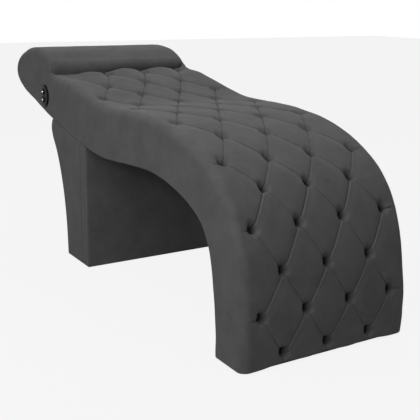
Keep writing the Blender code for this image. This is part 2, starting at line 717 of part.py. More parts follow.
def make_pedestal():
    edge = HALF_WIDTH
    inner = HALF_WIDTH - PEDESTAL_COVER - GAP
    panel_inner = inner - SIDE_PANEL
    front_wall = PEDESTAL_FRONT + PEDESTAL_COVER + GAP
    front_inner = front_wall + FRONT_PANEL + GAP
    back_near = PEDESTAL_COVER + GAP
    back_far = back_near + BACK_PANEL
    outline = upright(PEDESTAL_FRONT, PEDESTAL_COVER, GLIDE_STAND, -GAP)
    board("pedestal_front_cover", outline, -edge, edge, SUEDE)
    outline = pedestal_outline(front_wall, back_near, GLIDE_STAND)
    board("pedestal_side_cover_left", outline, -edge, -edge + PEDESTAL_COVER, SUEDE)
    board("pedestal_side_cover_right", outline, edge - PEDESTAL_COVER, edge, SUEDE)
    outline = strip(BACK, 0, PEDESTAL_COVER, at_height(BACK, GLIDE_STAND), under_roof)
    board("pedestal_back_cover", outline, -edge, edge, SUEDE)
    outline = upright(front_wall, FRONT_PANEL, BASE_Z, -GAP)
    board("pedestal_front_panel", outline, -inner, inner, PLYWOOD)
    outline = strip(BACK, back_near, back_far, at_height(BACK, BASE_Z), under_roof)
    board("pedestal_back_panel", outline, -inner, inner, PLYWOOD)
    outline = pedestal_outline(front_inner, back_far + GAP, BASE_Z)
    board("pedestal_side_panel_left", outline, -inner, -panel_inner, PLYWOOD)
    board("pedestal_side_panel_right", outline, panel_inner, inner, PLYWOOD)

    reach = panel_inner - GAP
    back_top = BACK.spot(under_roof(back_far), back_far)[ALONG] - GAP
    ends = at_place(UNDER, front_inner), at_place(UNDER, back_top)
    outline = strip(UNDER, -GAP, -GAP - TOP_BOARD, *ends)
    top = board("pedestal_top_board", outline, -reach, reach, PLYWOOD)
    back_foot = BACK.spot(BACK.reach(back_far, UP, BASE_Z), back_far)[ALONG] - GAP
    rail_top = BASE_Z + BASE_RAIL
    front_row, back_row = front_inner + BASE_RAIL_WIDTH / 2, back_foot - BASE_RAIL_WIDTH / 2
    rails = {}
    for place, row in (("front", front_row), ("back", back_row)):
        outline = box_outline(row - BASE_RAIL_WIDTH / 2, BASE_Z, row + BASE_RAIL_WIDTH / 2, rail_top)
        rails[place] = board("pedestal_base_rail_" + place, outline, -reach, reach, PINE), row
    outline = upright(front_inner, CORNER_BLOCK, rail_top + GAP, -TOP_BOARD - GAP * 2)
    board("pedestal_corner_block_left", outline, -reach, CORNER_BLOCK - reach, PINE)
    board("pedestal_corner_block_right", outline, reach - CORNER_BLOCK, reach, PINE)
    back_cloth = BACK.spot(BACK.reach(back_near, UP, GLIDE_STAND), back_near)[ALONG] - GAP
    outline = box_outline(front_wall, GLIDE_STAND, back_cloth, GLIDE_STAND + DUST_COVER)
    cloth = board("pedestal_dust_cover", outline, -inner, inner, DUST_CLOTH)
    return top, rails, cloth


# Fasteners and glides

def make_glides(name, row, carriers):
    """A nailed plastic glide near each side, with its pin up through the dust cover."""
    head = GLIDE_STAND - GAP
    profile = [
        (0, 0), (GLIDE_RADIUS, 0), (GLIDE_RADIUS, head), (GLIDE_PIN_RADIUS, head),
        (GLIDE_PIN_RADIUS, GLIDE_PIN), (0, GLIDE_PIN),
    ]
    hole = drum(GLIDE_PIN_RADIUS + HOLE_ROOM, -OVERRUN, GLIDE_PIN + GAP)
    for side, word in ((-1, "_left"), (1, "_right")):
        place = Matrix.Translation((side * (HALF_WIDTH - GLIDE_INSET), row, 0))
        turned(name + word, profile, ROUND_SIDES, place, DARK_PLASTIC)
        cutter = turned(name + word + "_hole", hole, ROUND_SIDES, place, None, CUTTERS)
        for carrier in carriers:
            cut(carrier, cutter)


def make_bolts(top_board):
    """Flange bolts that hold the pedestal's top board to the bed's bolt rails."""
    under = -GAP - TOP_BOARD - GAP
    tip = RIB_UNDER + BOLT_DEPTH
    head = under - BOLT_FLANGE
    shank = [
        (0, head), (BOLT_FLANGE_RADIUS, head), (BOLT_FLANGE_RADIUS, under),
        (BOLT_RADIUS, under), (BOLT_RADIUS, tip), (0, tip),
    ]
    hexagon = drum(BOLT_HEAD_RADIUS, under - BOLT_HEAD, under - BOLT_FLANGE / 2)
    hole = drum(BOLT_RADIUS + HOLE_ROOM, under - OVERRUN, tip + GAP)
    count = 0
    for rail, distance in bolt_rails:
        for side in (-1, 1):
            count += 1
            name = f"pedestal_bolt_{count}"
            spot = UNDER.spot(distance, 0)
            place = frame_at(side * BOLT_X, spot, -UNDER.outward(distance))
            bolt = turned(name, shank, ROUND_SIDES, place, ZINC)
            union = bolt.modifiers.new("Head", "BOOLEAN")
            union.operation = "UNION"
            union.solver = "EXACT"
            union.object = turned(name + "_head", hexagon, HEX_SIDES, place, None, CUTTERS)
            cutter = turned(name + "_hole", hole, ROUND_SIDES, place, None, CUTTERS)
            for carrier in (top_board, under_cover, under_deck, rail):
                cut(carrier, cutter)


# Massage control

CONTROL_Y = FOOT_Y + BED_LENGTH * CONTROL_ALONG_SHARE
CONTROL_Z = GLIDE_STAND + (BED_HEIGHT - GLIDE_STAND) * CONTROL_UP_SHARE
SIDE_FACE = -HALF_WIDTH - GAP
PLATE_FACE = SIDE_FACE - PLATE
RIB_INNER_FACE = RIB - INNER_HALF
HOUSING_BACK = RIB_INNER_FACE + HOUSING_BEHIND_RIB
BUTTON_BACK = SIDE_FACE + BUTTON_BEHIND
SPRING_SEAT = BUTTON_BACK + SPRING_LENGTH
BUTTON_HEIGHTS = {"upper": CONTROL_Z + BUTTON_SPACING / 2, "lower": CONTROL_Z - BUTTON_SPACING / 2}


def oval(name, length, height, left, right, finish, collection=PARTS):
    """An oval block across X, centred on the control."""
    mesh = sheet_mesh(name, ellipse(length, height, CONTROL_SIDES), right - left)
    return add(name, mesh, finish, ((left + right) / 2, CONTROL_Y, CONTROL_Z), SIDE_TURN, collection)


def facing_left(x, z):
    """A matrix whose Z axis points out of the bed's left side, with its origin on the control."""
    return Matrix.Translation((x, CONTROL_Y, z)) @ Matrix.Rotation(math.radians(-90), 4, "Y")


def make_control():
    plate = oval("control_plate", PLATE_LENGTH, PLATE_HEIGHT, PLATE_FACE, SIDE_FACE, BLACK_PLASTIC)
    bevel = plate.modifiers.new("Edge", "BEVEL")
    bevel.width = PLATE_BEVEL
    bevel.segments = 2
    bevel.limit_method = "ANGLE"
    bevel.angle_limit = math.radians(60)
    front = SIDE_FACE + GAP
    housing = oval("switch_housing", HOUSING_LENGTH, HOUSING_HEIGHT, front, HOUSING_BACK, DARK_PLASTIC)
    length, height = HOUSING_LENGTH + HOLE_ROOM * 2, HOUSING_HEIGHT + HOLE_ROOM * 2
    outer = SIDE_FACE - OVERRUN
    opening = oval("control_opening", length, height, outer, HOUSING_BACK, None, CUTTERS)
    cut(side_pad_left, opening)
    cut(rib_left, opening)
    bore = drum(BUTTON_RADIUS + BUTTON_ROOM, PLATE_FACE - OVERRUN - BUTTON_BACK, SPRING_LENGTH + GAP)
    bore = [(radius, -reach) for radius, reach in bore]
    for place, z in BUTTON_HEIGHTS.items():
        matrix = facing_left(BUTTON_BACK, z)
        cutter = turned("button_bore_" + place, bore, CONTROL_SIDES, matrix, None, CUTTERS)
        cut(plate, cutter)
        cut(housing, cutter)
        make_button("button_" + place, matrix)
        make_spring("spring_" + place, z)


def make_button(name, matrix):
    """A domed push button whose origin is on the middle of its back."""
    length = BUTTON_BACK - PLATE_FACE + BUTTON_TRAVEL + BUTTON_LEFT_PROUD
    shoulder = length - BUTTON_CROWN
    crown = [
        (BUTTON_RADIUS * across, shoulder + BUTTON_CROWN * up) for across, up in button_crown_shares
    ]
    turned(name, [(0, 0), (BUTTON_RADIUS, 0), *crown], CONTROL_SIDES, matrix, BLACK_PLASTIC)


def tube(name, points, radius, roundness, finish):
    """A round bar bent through points."""
    curve = bpy.data.curves.new(name, "CURVE")
    curve.dimensions = "3D"
    curve.bevel_depth = radius
    curve.bevel_resolution = roundness
    curve.use_fill_caps = True
    spline = curve.splines.new("POLY")
    spline.points.add(len(points) - 1)
    for point, place in zip(spline.points, points):
        point.co = (*place, 1)
    guide = bpy.data.objects.new(name, curve)
    PARTS.objects.link(guide)
    add(name, mesh_from(evaluated_mesh(guide), name), finish)


def make_spring(name, z):
    """The return spring between a button's back and the floor of its bore."""
    steps = SPRING_TURNS * SPRING_STEPS
    clear = GAP + SPRING_WIRE_RADIUS
    left, right = BUTTON_BACK + clear, SPRING_SEAT - clear
    points = []
    for step in range(steps + 1):
        turn = 2 * math.pi * step / SPRING_STEPS
        y, up = SPRING_RADIUS * math.cos(turn), SPRING_RADIUS * math.sin(turn)
        points.append((left + (right - left) * step / steps, CONTROL_Y + y, z + up))
    tube(name, points, SPRING_WIRE_RADIUS, SPRING_ROUND_STEPS, SPRING_STEEL)


# Massage drive

DRIVER_Y = FOOT_Y + BED_LENGTH * DRIVER_ALONG_SHARE
DRIVER_Z = GLIDE_STAND + (BED_HEIGHT - GLIDE_STAND) * DRIVER_UP_SHARE
DRIVER_FOOT_END = DRIVER_Y - DRIVER_LENGTH / 2
DRIVER_HEAD_END = DRIVER_Y + DRIVER_LENGTH / 2
LEAD_X = RIB_INNER_FACE + LEAD_STANDOFF
HIGH_LEAD_Z = DRIVER_Z + LEAD_PITCH / 2
LOW_LEAD_Z = DRIVER_Z - LEAD_PITCH / 2


def lead(name, knots):
    tube(name, smoothed(knots, LEAD_STEPS), LEAD_RADIUS, LEAD_ROUND_STEPS, LEAD_BLACK)


def make_driver():
    low, high = DRIVER_Z - DRIVER_HEIGHT / 2, DRIVER_Z + DRIVER_HEIGHT / 2
    outline = box_outline(DRIVER_FOOT_END, low, DRIVER_HEAD_END, high)
    left = RIB_INNER_FACE + GAP
    board("massage_driver_box", outline, left, left + DRIVER_DEPTH, DARK_PLASTIC)
    end = CONTROL_Y - HOUSING_LENGTH / 2 - GAP
    near = DRIVER_HEAD_END + GAP
    lead("switch_lead", [
        (LEAD_X, end, CONTROL_Z), (LEAD_X, end - LEAD_STRAIGHT, CONTROL_Z),
        (LEAD_X, near + LEAD_STRAIGHT, HIGH_LEAD_Z), (LEAD_X, near, HIGH_LEAD_Z),
    ])


def make_motor(word, share, exit_z, depth):
    """A vibration motor under the top deck, with its lead back along the rib to the driver box."""
    distance = LYING.along[-1] * share
    spot = LYING.spot(distance, DECK_BOTTOM + MOTOR_SEAT)
    place = frame_at(-MOTOR_X, spot, -LYING.outward(distance))
    profile = [
        (0, 0), (MOTOR_RADIUS, 0), (MOTOR_RADIUS, MOTOR_FLANGE), (MOTOR_CASE_RADIUS, MOTOR_FLANGE),
        (MOTOR_CASE_RADIUS, MOTOR_HEIGHT), (0, MOTOR_HEIGHT),
    ]
    turned("massage_motor_" + word, profile, MOTOR_SIDES, place, DARK_PLASTIC)
    middle = (MOTOR_FLANGE + MOTOR_HEIGHT) / 2
    start = LYING.reach(depth, ALONG, DRIVER_FOOT_END - LEAD_STRAIGHT * 3)
    turn_off = distance + LEAD_STRAIGHT * 2
    clips = max(2, math.ceil((start - turn_off) / LEAD_CLIP_SPACING))
    run = [(LEAD_X, *LYING.spot(clip, depth)) for clip in np.linspace(start, turn_off, clips)]
    near = DRIVER_FOOT_END - GAP
    lead(f"motor_{word}_lead", [
        (LEAD_X, near, exit_z), (LEAD_X, near - LEAD_STRAIGHT, exit_z), *run,
        place @ Vector((-MOTOR_CASE_RADIUS - LEAD_STRAIGHT, 0, middle)),
        place @ Vector((-MOTOR_CASE_RADIUS - GAP, 0, middle)),
    ])


def make_inlet():
    """A barrel power inlet that faces down behind the pedestal, with its lead to the driver box."""
    distance = UNDER.reach(0, ALONG, FOOT_Y + BED_LENGTH * INLET_ALONG_SHARE)
    left = INLET_INSET - BED_WIDTH / 2
    place = frame_at(left, UNDER.spot(distance, 0), -UNDER.outward(distance))
    flange = -GAP
    mouth = flange - INLET_FLANGE
    floor = mouth + INLET_BORE
    profile = [
        (0, floor), (INLET_BORE_RADIUS, floor), (INLET_BORE_RADIUS, mouth),
        (INLET_FLANGE_RADIUS, mouth), (INLET_FLANGE_RADIUS, flange),
        (INLET_RADIUS, flange), (INLET_RADIUS, INLET_LENGTH), (0, INLET_LENGTH),
    ]
    turned("power_inlet", profile, ROUND_SIDES, place, BLACK_PLASTIC)
    hole = drum(INLET_RADIUS + HOLE_ROOM, -OVERRUN, INLET_LENGTH)
    cutter = turned("inlet_hole", hole, ROUND_SIDES, place, None, CUTTERS)
    cut(under_cover, cutter)
    cut(under_deck, cutter)
    near = DRIVER_HEAD_END + GAP
    above = place @ Vector((0, 0, INLET_LENGTH + LEAD_STRAIGHT))
    lead("inlet_lead", [
        place @ Vector((0, 0, INLET_LENGTH + GAP)), above,
        (left, CONTROL_Y, (above.z + LOW_LEAD_Z) / 2),
        (LEAD_X, near + LEAD_STRAIGHT, LOW_LEAD_Z), (LEAD_X, near, LOW_LEAD_Z),
    ])


side_pad_left = make_side_pads()
under_deck, under_cover = make_decks()
rib_left, rib_centre = make_ribs()
make_battens()
bolt_rails = make_bolt_rails()
foot_base, foot_cloth, foot_row = make_end_rails()
make_glides("foot_glide", foot_row, [foot_base, foot_cloth])
make_tufted_pad()
make_headrest()
pedestal_top, base_rails, pedestal_cloth = make_pedestal()
make_bolts(pedestal_top)
for word, (rail, row) in base_rails.items():
    make_glides("pedestal_glide_" + word, row, [rail, pedestal_cloth])
make_control()
make_driver()
make_motor("back", BACK_MOTOR_SHARE, HIGH_LEAD_Z, LEAD_DEPTH)
make_motor("hip", HIP_MOTOR_SHARE, LOW_LEAD_Z, LEAD_DEPTH + LEAD_PITCH)
make_inlet()
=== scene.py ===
"""Curved lash bed, dressed: suede covers, deep tufting, pedestal, massage control and studio."""
import contextlib
import math

import bmesh
import bpy
import numpy as np
from mathutils import Matrix, Vector


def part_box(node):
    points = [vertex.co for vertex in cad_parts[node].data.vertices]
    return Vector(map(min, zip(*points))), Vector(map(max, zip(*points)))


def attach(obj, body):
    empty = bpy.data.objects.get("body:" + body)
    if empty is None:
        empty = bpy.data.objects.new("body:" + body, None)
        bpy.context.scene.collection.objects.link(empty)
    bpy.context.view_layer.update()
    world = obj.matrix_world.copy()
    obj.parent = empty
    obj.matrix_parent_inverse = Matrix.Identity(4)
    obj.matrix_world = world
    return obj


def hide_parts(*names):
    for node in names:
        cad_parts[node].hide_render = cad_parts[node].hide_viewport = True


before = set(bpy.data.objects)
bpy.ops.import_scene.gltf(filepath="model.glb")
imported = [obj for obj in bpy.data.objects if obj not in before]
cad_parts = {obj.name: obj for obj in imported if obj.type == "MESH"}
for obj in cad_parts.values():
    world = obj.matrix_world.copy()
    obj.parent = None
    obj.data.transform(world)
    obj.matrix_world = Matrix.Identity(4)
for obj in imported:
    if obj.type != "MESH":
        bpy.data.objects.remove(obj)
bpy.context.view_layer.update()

# The bed, in metres, as its frame was built
BED_LENGTH = 1.800
BED_HEIGHT = 0.800
HALF_WIDTH = 0.300
FLOOR_GAP = 0.003
HEM_HEIGHT = 0.0008
RIGHT_SWELL = 0.011
FOOT_Y = -BED_LENGTH / 2
LINE_STEPS = 24

# Side view, as shares of the bed's length from the foot's face and of its height above the glides
lying_line_shares = [
    (0.0000, 0.0000), (0.0006, 0.2183), (0.0178, 0.4304), (0.0450, 0.5596), (0.0778, 0.6412),
    (0.1267, 0.7102), (0.1772, 0.7553), (0.2289, 0.7842), (0.3022, 0.8030), (0.4022, 0.8080),
    (0.4894, 0.8093), (0.5606, 0.8356), (0.6361, 0.8695), (0.7267, 0.9072), (0.7622, 0.9222),
    (0.8333, 0.9373), (0.9000, 0.9385), (0.9694, 0.9322), (1.0000, 0.9272),
]
under_line_shares = [
    (0.0772, 0.0000), (0.0833, 0.1217), (0.0911, 0.2522), (0.1056, 0.3902), (0.1306, 0.4755),
    (0.1722, 0.5282), (0.2289, 0.5671), (0.3022, 0.5897), (0.3767, 0.5847), (0.4444, 0.5734),
    (0.5056, 0.5671), (0.5783, 0.5809), (0.6733, 0.6186), (0.7711, 0.6625), (0.8767, 0.7277),
    (0.9500, 0.7767), (0.9700, 0.7992), (0.9928, 0.8432),
]
headrest_shares = [
    (0.7780, 0.9530), (0.7961, 0.9710), (0.8139, 0.9845), (0.8361, 0.9925), (0.8617, 0.9972),
    (0.8870, 0.9972), (0.9111, 0.9930), (0.9444, 0.9737), (0.9756, 0.9461), (0.9944, 0.9134),
    (1.0000, 0.8795), (0.9928, 0.8432),
]
pedestal_back_shares = [
    (0.7022, 0.0000), (0.7072, 0.1694), (0.7194, 0.3187), (0.7333, 0.4153), (0.7533, 0.5107),
    (0.7739, 0.5797), (0.7789, 0.6136), (0.7744, 0.6487), (0.7667, 0.6801),
]
crease_shares = [
    (0.7604, 0.8733), (0.7619, 0.8858), (0.7593, 0.9034), (0.7596, 0.9210), (0.7644, 0.9373),
]
filled_shares = [(0.7678, 0.9385)]
CREASE_SHARE = 0.7560
PEDESTAL_FRONT_SHARE = 0.5889
FRAME_END_SHARE = 0.9694

# Tufting: a cell is the diamond between two pits, and fades are given from low to high
CELL_STEPS = 36
HALF_PITCH = (HALF_WIDTH - 0.062) / 3
WIDEST = 3
tuft_row_shares = [
    0.0150, 0.0838, 0.1530, 0.2240, 0.2895, 0.3510, 0.4285,
    0.5090, 0.5855, 0.6600, 0.7350, 0.8075, 0.8815, 0.9760,
]
tuft_sizes = {
    "Crown height": 0.0045, "Crown reach": 0.034, "Fold depth": 0.0024, "Fold reach": 0.0020,
    "Lip height": 0.0023, "Lip reach": 0.0027, "Fold gather": 0.0040, "Gather reach": 0.026,
    "Pit depth": 0.0270, "Pit width": 0.0138, "Pit rise": 0.0255, "Pit fall": 0.0130,
    "Pit lean": 0.10, "Cell reach": 0.0620, "Slack": 0.0012, "Slack scale": 14.0,
    "Uneven scale": 26.0,
}
PIT_POWER = 1.40
UPPER_ROWS = 4.5, 8.0
TUFTED_TO = 0.262, 0.291
FOOT_FADE = 0.020
FOOT_STRENGTH, FOOT_GAIN = 0.35, 0.65
PAST_CREASE = 0.55, 0.25
FOLD_STRENGTHS = 0.45, 0.90, 0.42, 0.55
BESIDE_LOSS = 0.55
LAP_STEEPER = 1.2
UNEVEN_SPAN = 0.3, 0.7, 0.55, 1.45

# Covers
PAD = 0.0453
SIDE_PAD = 0.014
EDGE_ROUND = 0.028
HEM_ROUND = 0.007
SEAM_ROUND = 0.005
CREASE_ROUND = 0.027
CREASE_FILL, FILL_REACH = 0.002, 0.060
CREASE_FROM, CREASE_TO = 0.2992, 0.268
HEAD_DIP = 0.009
DIP_ALONG = 1.15, 1.50
DIP_ACROSS = 0.285, 0.190
LEFT_DIP = 0.019
LEFT_ACROSS = 0.02, 0.27
LEFT_BACK = 0.034
LEFT_BACK_FROM, LEFT_BACK_TO = (-0.16, 0), (0.01, 0.13)
CREASE_SINK = 0.0095
SINK_ROWS, SINK_END = 0.65, 0.012
LEFT_FAINT, FAINT_ROWS, FAINT_ACROSS = 0.65, (0.7, 0.1), (0.16, 0.21)
DEEPEST_PIT = 0.043
FREE_DEPTH = 0.030
# tufting depths at which painted shade in the pits starts and reaches full darkness
PIT_SHADE_DEPTHS = 0.011, 0.031
HEM_RISE = 0.0085
HEM_SCALLOP = 0.0022
HEM_REACH = 0.090
HEM_FLARE = 0.0045
HEM_ENDS = 0.85, 1.0
SWELL_FROM, SWELL_TO = (-0.01, 0.07), (0.10, 0.27)
UNDER_BLEND = 0.12
LIP_SHARE = 0.001
ROUND_SHARES = 0.70, 0.20
HEAD_STEPS = 90
HEAD_POWERS = 1.4, 1.35
SIDE_STEPS = 20
UNDER_COVER = 0.003
UNDER_INSET, UNDER_DRAWN = 0.0035, 0.0022
END_LEVELS = 6
END_GAP = 0.0003
ALONG_RAIL, DOWN_END = 0.8, 0.2
INNER_X = HALF_WIDTH - SIDE_PAD
MERGED = 0.000002


# Lines of the side view

def placed(shares):
    """Y and Z in metres."""
    rise = BED_HEIGHT - FLOOR_GAP
    return np.array([(FOOT_Y + BED_LENGTH * y, FLOOR_GAP + rise * z) for y, z in shares])


def smoothed(knots):
    """A smooth curve through the knots, each span cut into equal steps."""
    spans = np.linalg.norm(np.diff(knots, axis=0), axis=1)
    slopes = np.diff(knots, axis=0) / spans[:, None]
    inner = slopes[:-1] * spans[1:, None] + slopes[1:] * spans[:-1, None]
    inner = inner / (spans[1:] + spans[:-1])[:, None]
    tangents = np.vstack((slopes[:1], inner, slopes[-1:]))
    t = (np.arange(LINE_STEPS) / LINE_STEPS)[None, :, None]
    low, high = knots[:-1, None], knots[1:, None]
    reach = spans[:, None, None]
    points = (
        (2 * t**3 - 3 * t**2 + 1) * low + (t**3 - 2 * t**2 + t) * reach * tangents[:-1, None]
        + (3 * t**2 - 2 * t**3) * high + (t**3 - t**2) * reach * tangents[1:, None]
    )
    return np.vstack((points.reshape(-1, knots.shape[1]), knots[-1:]))


def lengths(points):
    """How far along a line of points each of them lies."""
    return np.concatenate(([0], np.cumsum(np.hypot(*np.diff(points, axis=0).T))))


class Line:
    """A smooth line of the side view through knots, read at distances along it."""

    def __init__(self, knots, side=1):
        self.points = smoothed(knots)
        self.along = lengths(self.points)
        self.length = self.along[-1]
        runs = np.gradient(self.points, self.along, axis=0)
        left = np.stack((-runs[:, 1], runs[:, 0]), axis=1) * side
        self.normals = left / np.hypot(*left.T)[:, None]

    def read(self, values, distances):
        return np.stack([np.interp(distances, self.along, values[:, k]) for k in (0, 1)], axis=-1)

    def at(self, distances, lift=0):
        lift = np.asarray(lift, float)
        return self.read(self.points, distances) + self.outward(distances) * lift[..., None]

    def outward(self, distances):
        normals = self.read(self.normals, distances)
        return normals / np.linalg.norm(normals, axis=-1, keepdims=True)

    def nearest(self, points):
        gaps = np.linalg.norm(self.points[None] - points[:, None], axis=2)
        return self.along[gaps.argmin(axis=1)]


LYING = Line(placed(lying_line_shares))
UNDER = Line(placed(under_line_shares), side=-1)
BACK = Line(placed(pedestal_back_shares), side=-1)
CREASE_Y = FOOT_Y + BED_LENGTH * CREASE_SHARE
PAD_LENGTH = float(np.interp(CREASE_Y, LYING.points[:, 0], LYING.along))
TUFT_ROWS = [PAD_LENGTH * share for share in tuft_row_shares]
FRAME_END = FOOT_Y + BED_LENGTH * FRAME_END_SHARE
UNDER_END = float(np.interp(FRAME_END, UNDER.points[:, 0], UNDER.along))
PEDESTAL_FRONT = FOOT_Y + BED_LENGTH * PEDESTAL_FRONT_SHARE


def eased(value, low, high):
    """A smooth step from 0 at low to 1 at high."""
    t = np.clip((value - low) / (high - low), 0, 1)
    return t * t * (3 - 2 * t)


def quarter(steps):
    """The angles of a quarter turn in equal steps."""
    return np.linspace(0, math.pi / 2, steps + 1)


def rounded_drop(left, radius):
    """How far an edge of this radius has dropped, with this much left before its end."""
    reach = radius - np.clip(left, 0, radius)
    return radius - np.sqrt(radius**2 - reach**2)


# Node trees and plain meshes

class Term:
    """An output of a node that takes part in sums and products like a number."""

    def __init__(self, nodes, socket):
        self.nodes, self.socket = nodes, socket

    def __add__(self, other):
        return self.nodes.math("ADD", self, other)

    def __sub__(self, other):
        return self.nodes.math("SUBTRACT", self, other)

    def __rsub__(self, other):
        return self.nodes.math("SUBTRACT", other, self)

    def __mul__(self, other):
        return self.nodes.math("MULTIPLY", self, other)

    def __truediv__(self, other):
        return self.nodes.math("DIVIDE", self, other)

    def __pow__(self, other):
        return self.nodes.math("POWER", self, other)

    def __gt__(self, other):
        return self.nodes.math("GREATER_THAN", self, other)


class Nodes:
    """Adds nodes to a tree; a source is a term or a socket, which is joined, or a value."""

    def __init__(self, tree):
        self.tree = tree

    def add(self, kind, inputs=(), out=0, **settings):
        node = self.tree.nodes.new(kind)
        for name, value in settings.items():
            setattr(node, name, value)
        for key, source in dict(inputs).items():
            self.put(node.inputs[key], source)
        return Term(self, node.outputs[out])

    def put(self, socket, source):
        source = getattr(source, "socket", source)
        if isinstance(source, bpy.types.NodeSocket):
            self.tree.links.new(source, socket)
        else:
            socket.default_value = source

    def outputs(self, term):
        """Every output of a term's node, by name."""
        return {socket.name: Term(self, socket) for socket in term.socket.node.outputs}

    def attribute(self, name):
        return self.add("GeometryNodeInputNamedAttribute", {0: name}, data_type="FLOAT_VECTOR")

    def math(self, operation, *sources):
        return self.add("ShaderNodeMath", enumerate(sources), operation=operation)

    def exp(self, value):
        return self.math("EXPONENT", value)

    def vector(self, operation, *sources, out="Vector", **named):
        inputs = {**dict(enumerate(sources)), **named}
        return self.add("ShaderNodeVectorMath", inputs, out, operation=operation)

    def ramp(self, value, *stops):
        """A smooth map from a value to colours, given as two (value, colour) stops."""
        made = self.add("ShaderNodeValToRGB", {0: value})
        for element, (place, color) in zip(made.socket.node.color_ramp.elements, stops):
            element.position, element.color = place, (*color, 1)
        return made

    def span(self, value, *limits):
        """Maps a value from one range to another: low, high, new low, new high."""
        return self.add("ShaderNodeMapRange", enumerate((value, *limits)))


def shape_tree(name, sizes):
    """A new Geometry Nodes tree with named inputs; returns it, its nodes and its inputs."""
    tree = bpy.data.node_groups.new(name, "GeometryNodeTree")
    sockets = [("Geometry", "INPUT", "Geometry"), ("Geometry", "OUTPUT", "Geometry")]
    for word, value in sizes.items():
        sockets.append((word, "INPUT", "Float" if isinstance(value, float) else "Object"))
    for word, way, kind in sockets:
        tree.interface.new_socket(word, in_out=way, socket_type="NodeSocket" + kind)
    nodes = Nodes(tree)
    return tree, nodes, nodes.outputs(nodes.add("NodeGroupInput"))


def finish_tree(nodes, geometry, material):
    realized = nodes.add("GeometryNodeRealizeInstances", {0: geometry})
    dressed = nodes.add("GeometryNodeSetMaterial", {"Geometry": realized, "Material": material})
    nodes.put(nodes.tree.nodes.new("NodeGroupOutput").inputs[0], dressed)


def plain_mesh(guide):
    """The mesh that an object makes once evaluated; the object goes."""
    evaluated = guide.evaluated_get(bpy.context.evaluated_depsgraph_get())
    mesh = bpy.data.meshes.new_from_object(evaluated)
    bpy.data.objects.remove(guide)
    return mesh


def grown(name, guide, tree, sizes):
    """The plain mesh that a tree makes from a guide object, as a new object."""
    modifier = guide.modifiers.new("Shape", "NODES")
    modifier.node_group = tree
    for item in tree.interface.items_tree:
        if item.in_out == "INPUT" and item.name in sizes:
            modifier[item.identifier] = sizes[item.name]
    mesh = plain_mesh(guide)
    mesh.name = name
    return linked(name, mesh)


def linked(name, mesh):
    thing = bpy.data.objects.new(name, mesh)
    bpy.context.scene.collection.objects.link(thing)
    return thing


@contextlib.contextmanager
def edited(mesh):
    """A bmesh of the mesh, which is written back at the end of the block."""
    bm = bmesh.new()
    bm.from_mesh(mesh)
    yield bm
    bm.to_mesh(mesh)
    bm.free()


def outward_mesh(mesh):
    """The mesh with every face turned outward."""
    with edited(mesh) as bm:
        bmesh.ops.recalc_face_normals(bm, faces=bm.faces)
    return mesh


def shaded(mesh, sharp):
    mesh.shade_smooth()
    mesh.set_sharp_from_angle(angle=math.radians(sharp))


def mesh_of(name, points, faces, material=None, sharp=None):
    mesh = bpy.data.meshes.new(name)
    mesh.from_pydata(np.asarray(points, float).tolist(), [], faces)
    mesh.update()
    if material:
        mesh.materials.append(material)
    if sharp:
        shaded(mesh, sharp)
    return mesh


def keep_values(mesh, name, values, kind="FLOAT_VECTOR"):
    field = "vector" if kind == "FLOAT_VECTOR" else "value"
    data = mesh.attributes.new(name, kind, "POINT").data
    data.foreach_set(field, values.reshape(-1).astype(np.float32))


def grid_faces(grid, flipped=False, split=None):
    """Faces of a grid of point numbers. split tells, for a cell, which way to cut it in two."""
    faces = []
    for r, (low, high) in enumerate(zip(grid, grid[1:])):
        for c, (a, b, d, e) in enumerate(zip(low, low[1:], high, high[1:])):
            if split is None:
                found = [(a, b, e, d)]
            elif split(r, c):
                found = [(a, b, e), (a, e, d)]
            else:
                found = [(a, b, d), (b, e, d)]
            faces += [face[::-1] for face in found] if flipped else found
    return faces


def closed_shell(name, outer, inner, material, split=None, flipped=False, pit_shade=None):
    """A closed body between an outer and an inner grid of points with the same rows."""
    start, total = outer[..., 0].size, outer[..., 0].size + inner[..., 0].size
    out = np.arange(start).reshape(outer.shape[:2]).tolist()
    into = np.arange(start, total).reshape(inner.shape[:2]).tolist()
    faces = grid_faces(out, flipped, split) + grid_faces(into, not flipped)
    rims = []
    for r in range(len(out) - 1):
        rims.append((out[r + 1][0], into[r + 1][0], into[r][0], out[r][0]))
        rims.append((out[r][-1], into[r][-1], into[r + 1][-1], out[r + 1][-1]))
    if len(out[0]) == len(into[0]):
        for c in range(len(out[0]) - 1):
            rims.append((out[0][c], into[0][c], into[0][c + 1], out[0][c + 1]))
            rims.append((out[-1][c + 1], into[-1][c + 1], into[-1][c], out[-1][c]))
    else:
        rims += [(*into[0], *out[0][::-1]), (*out[-1], *into[-1][::-1])]
    faces += [rim[::-1] for rim in rims] if flipped else rims
    mesh = mesh_of(name, np.vstack((outer.reshape(-1, 3), inner.reshape(-1, 3))), faces, material)
    # keeps the mask of painted shade in the pits on the outer points; inner points get none
    if pit_shade is not None:
        pit_shade_values = np.concatenate((pit_shade.reshape(-1), np.zeros(total - start)))
        keep_values(mesh, "pit_shade", pit_shade_values, "FLOAT")
    with edited(mesh) as bm:
        bmesh.ops.remove_doubles(bm, verts=bm.verts, dist=MERGED)
        bmesh.ops.dissolve_degenerate(bm, dist=MERGED, edges=bm.edges)
    shaded(mesh, 60)
    return linked(name, mesh)


# Finishes

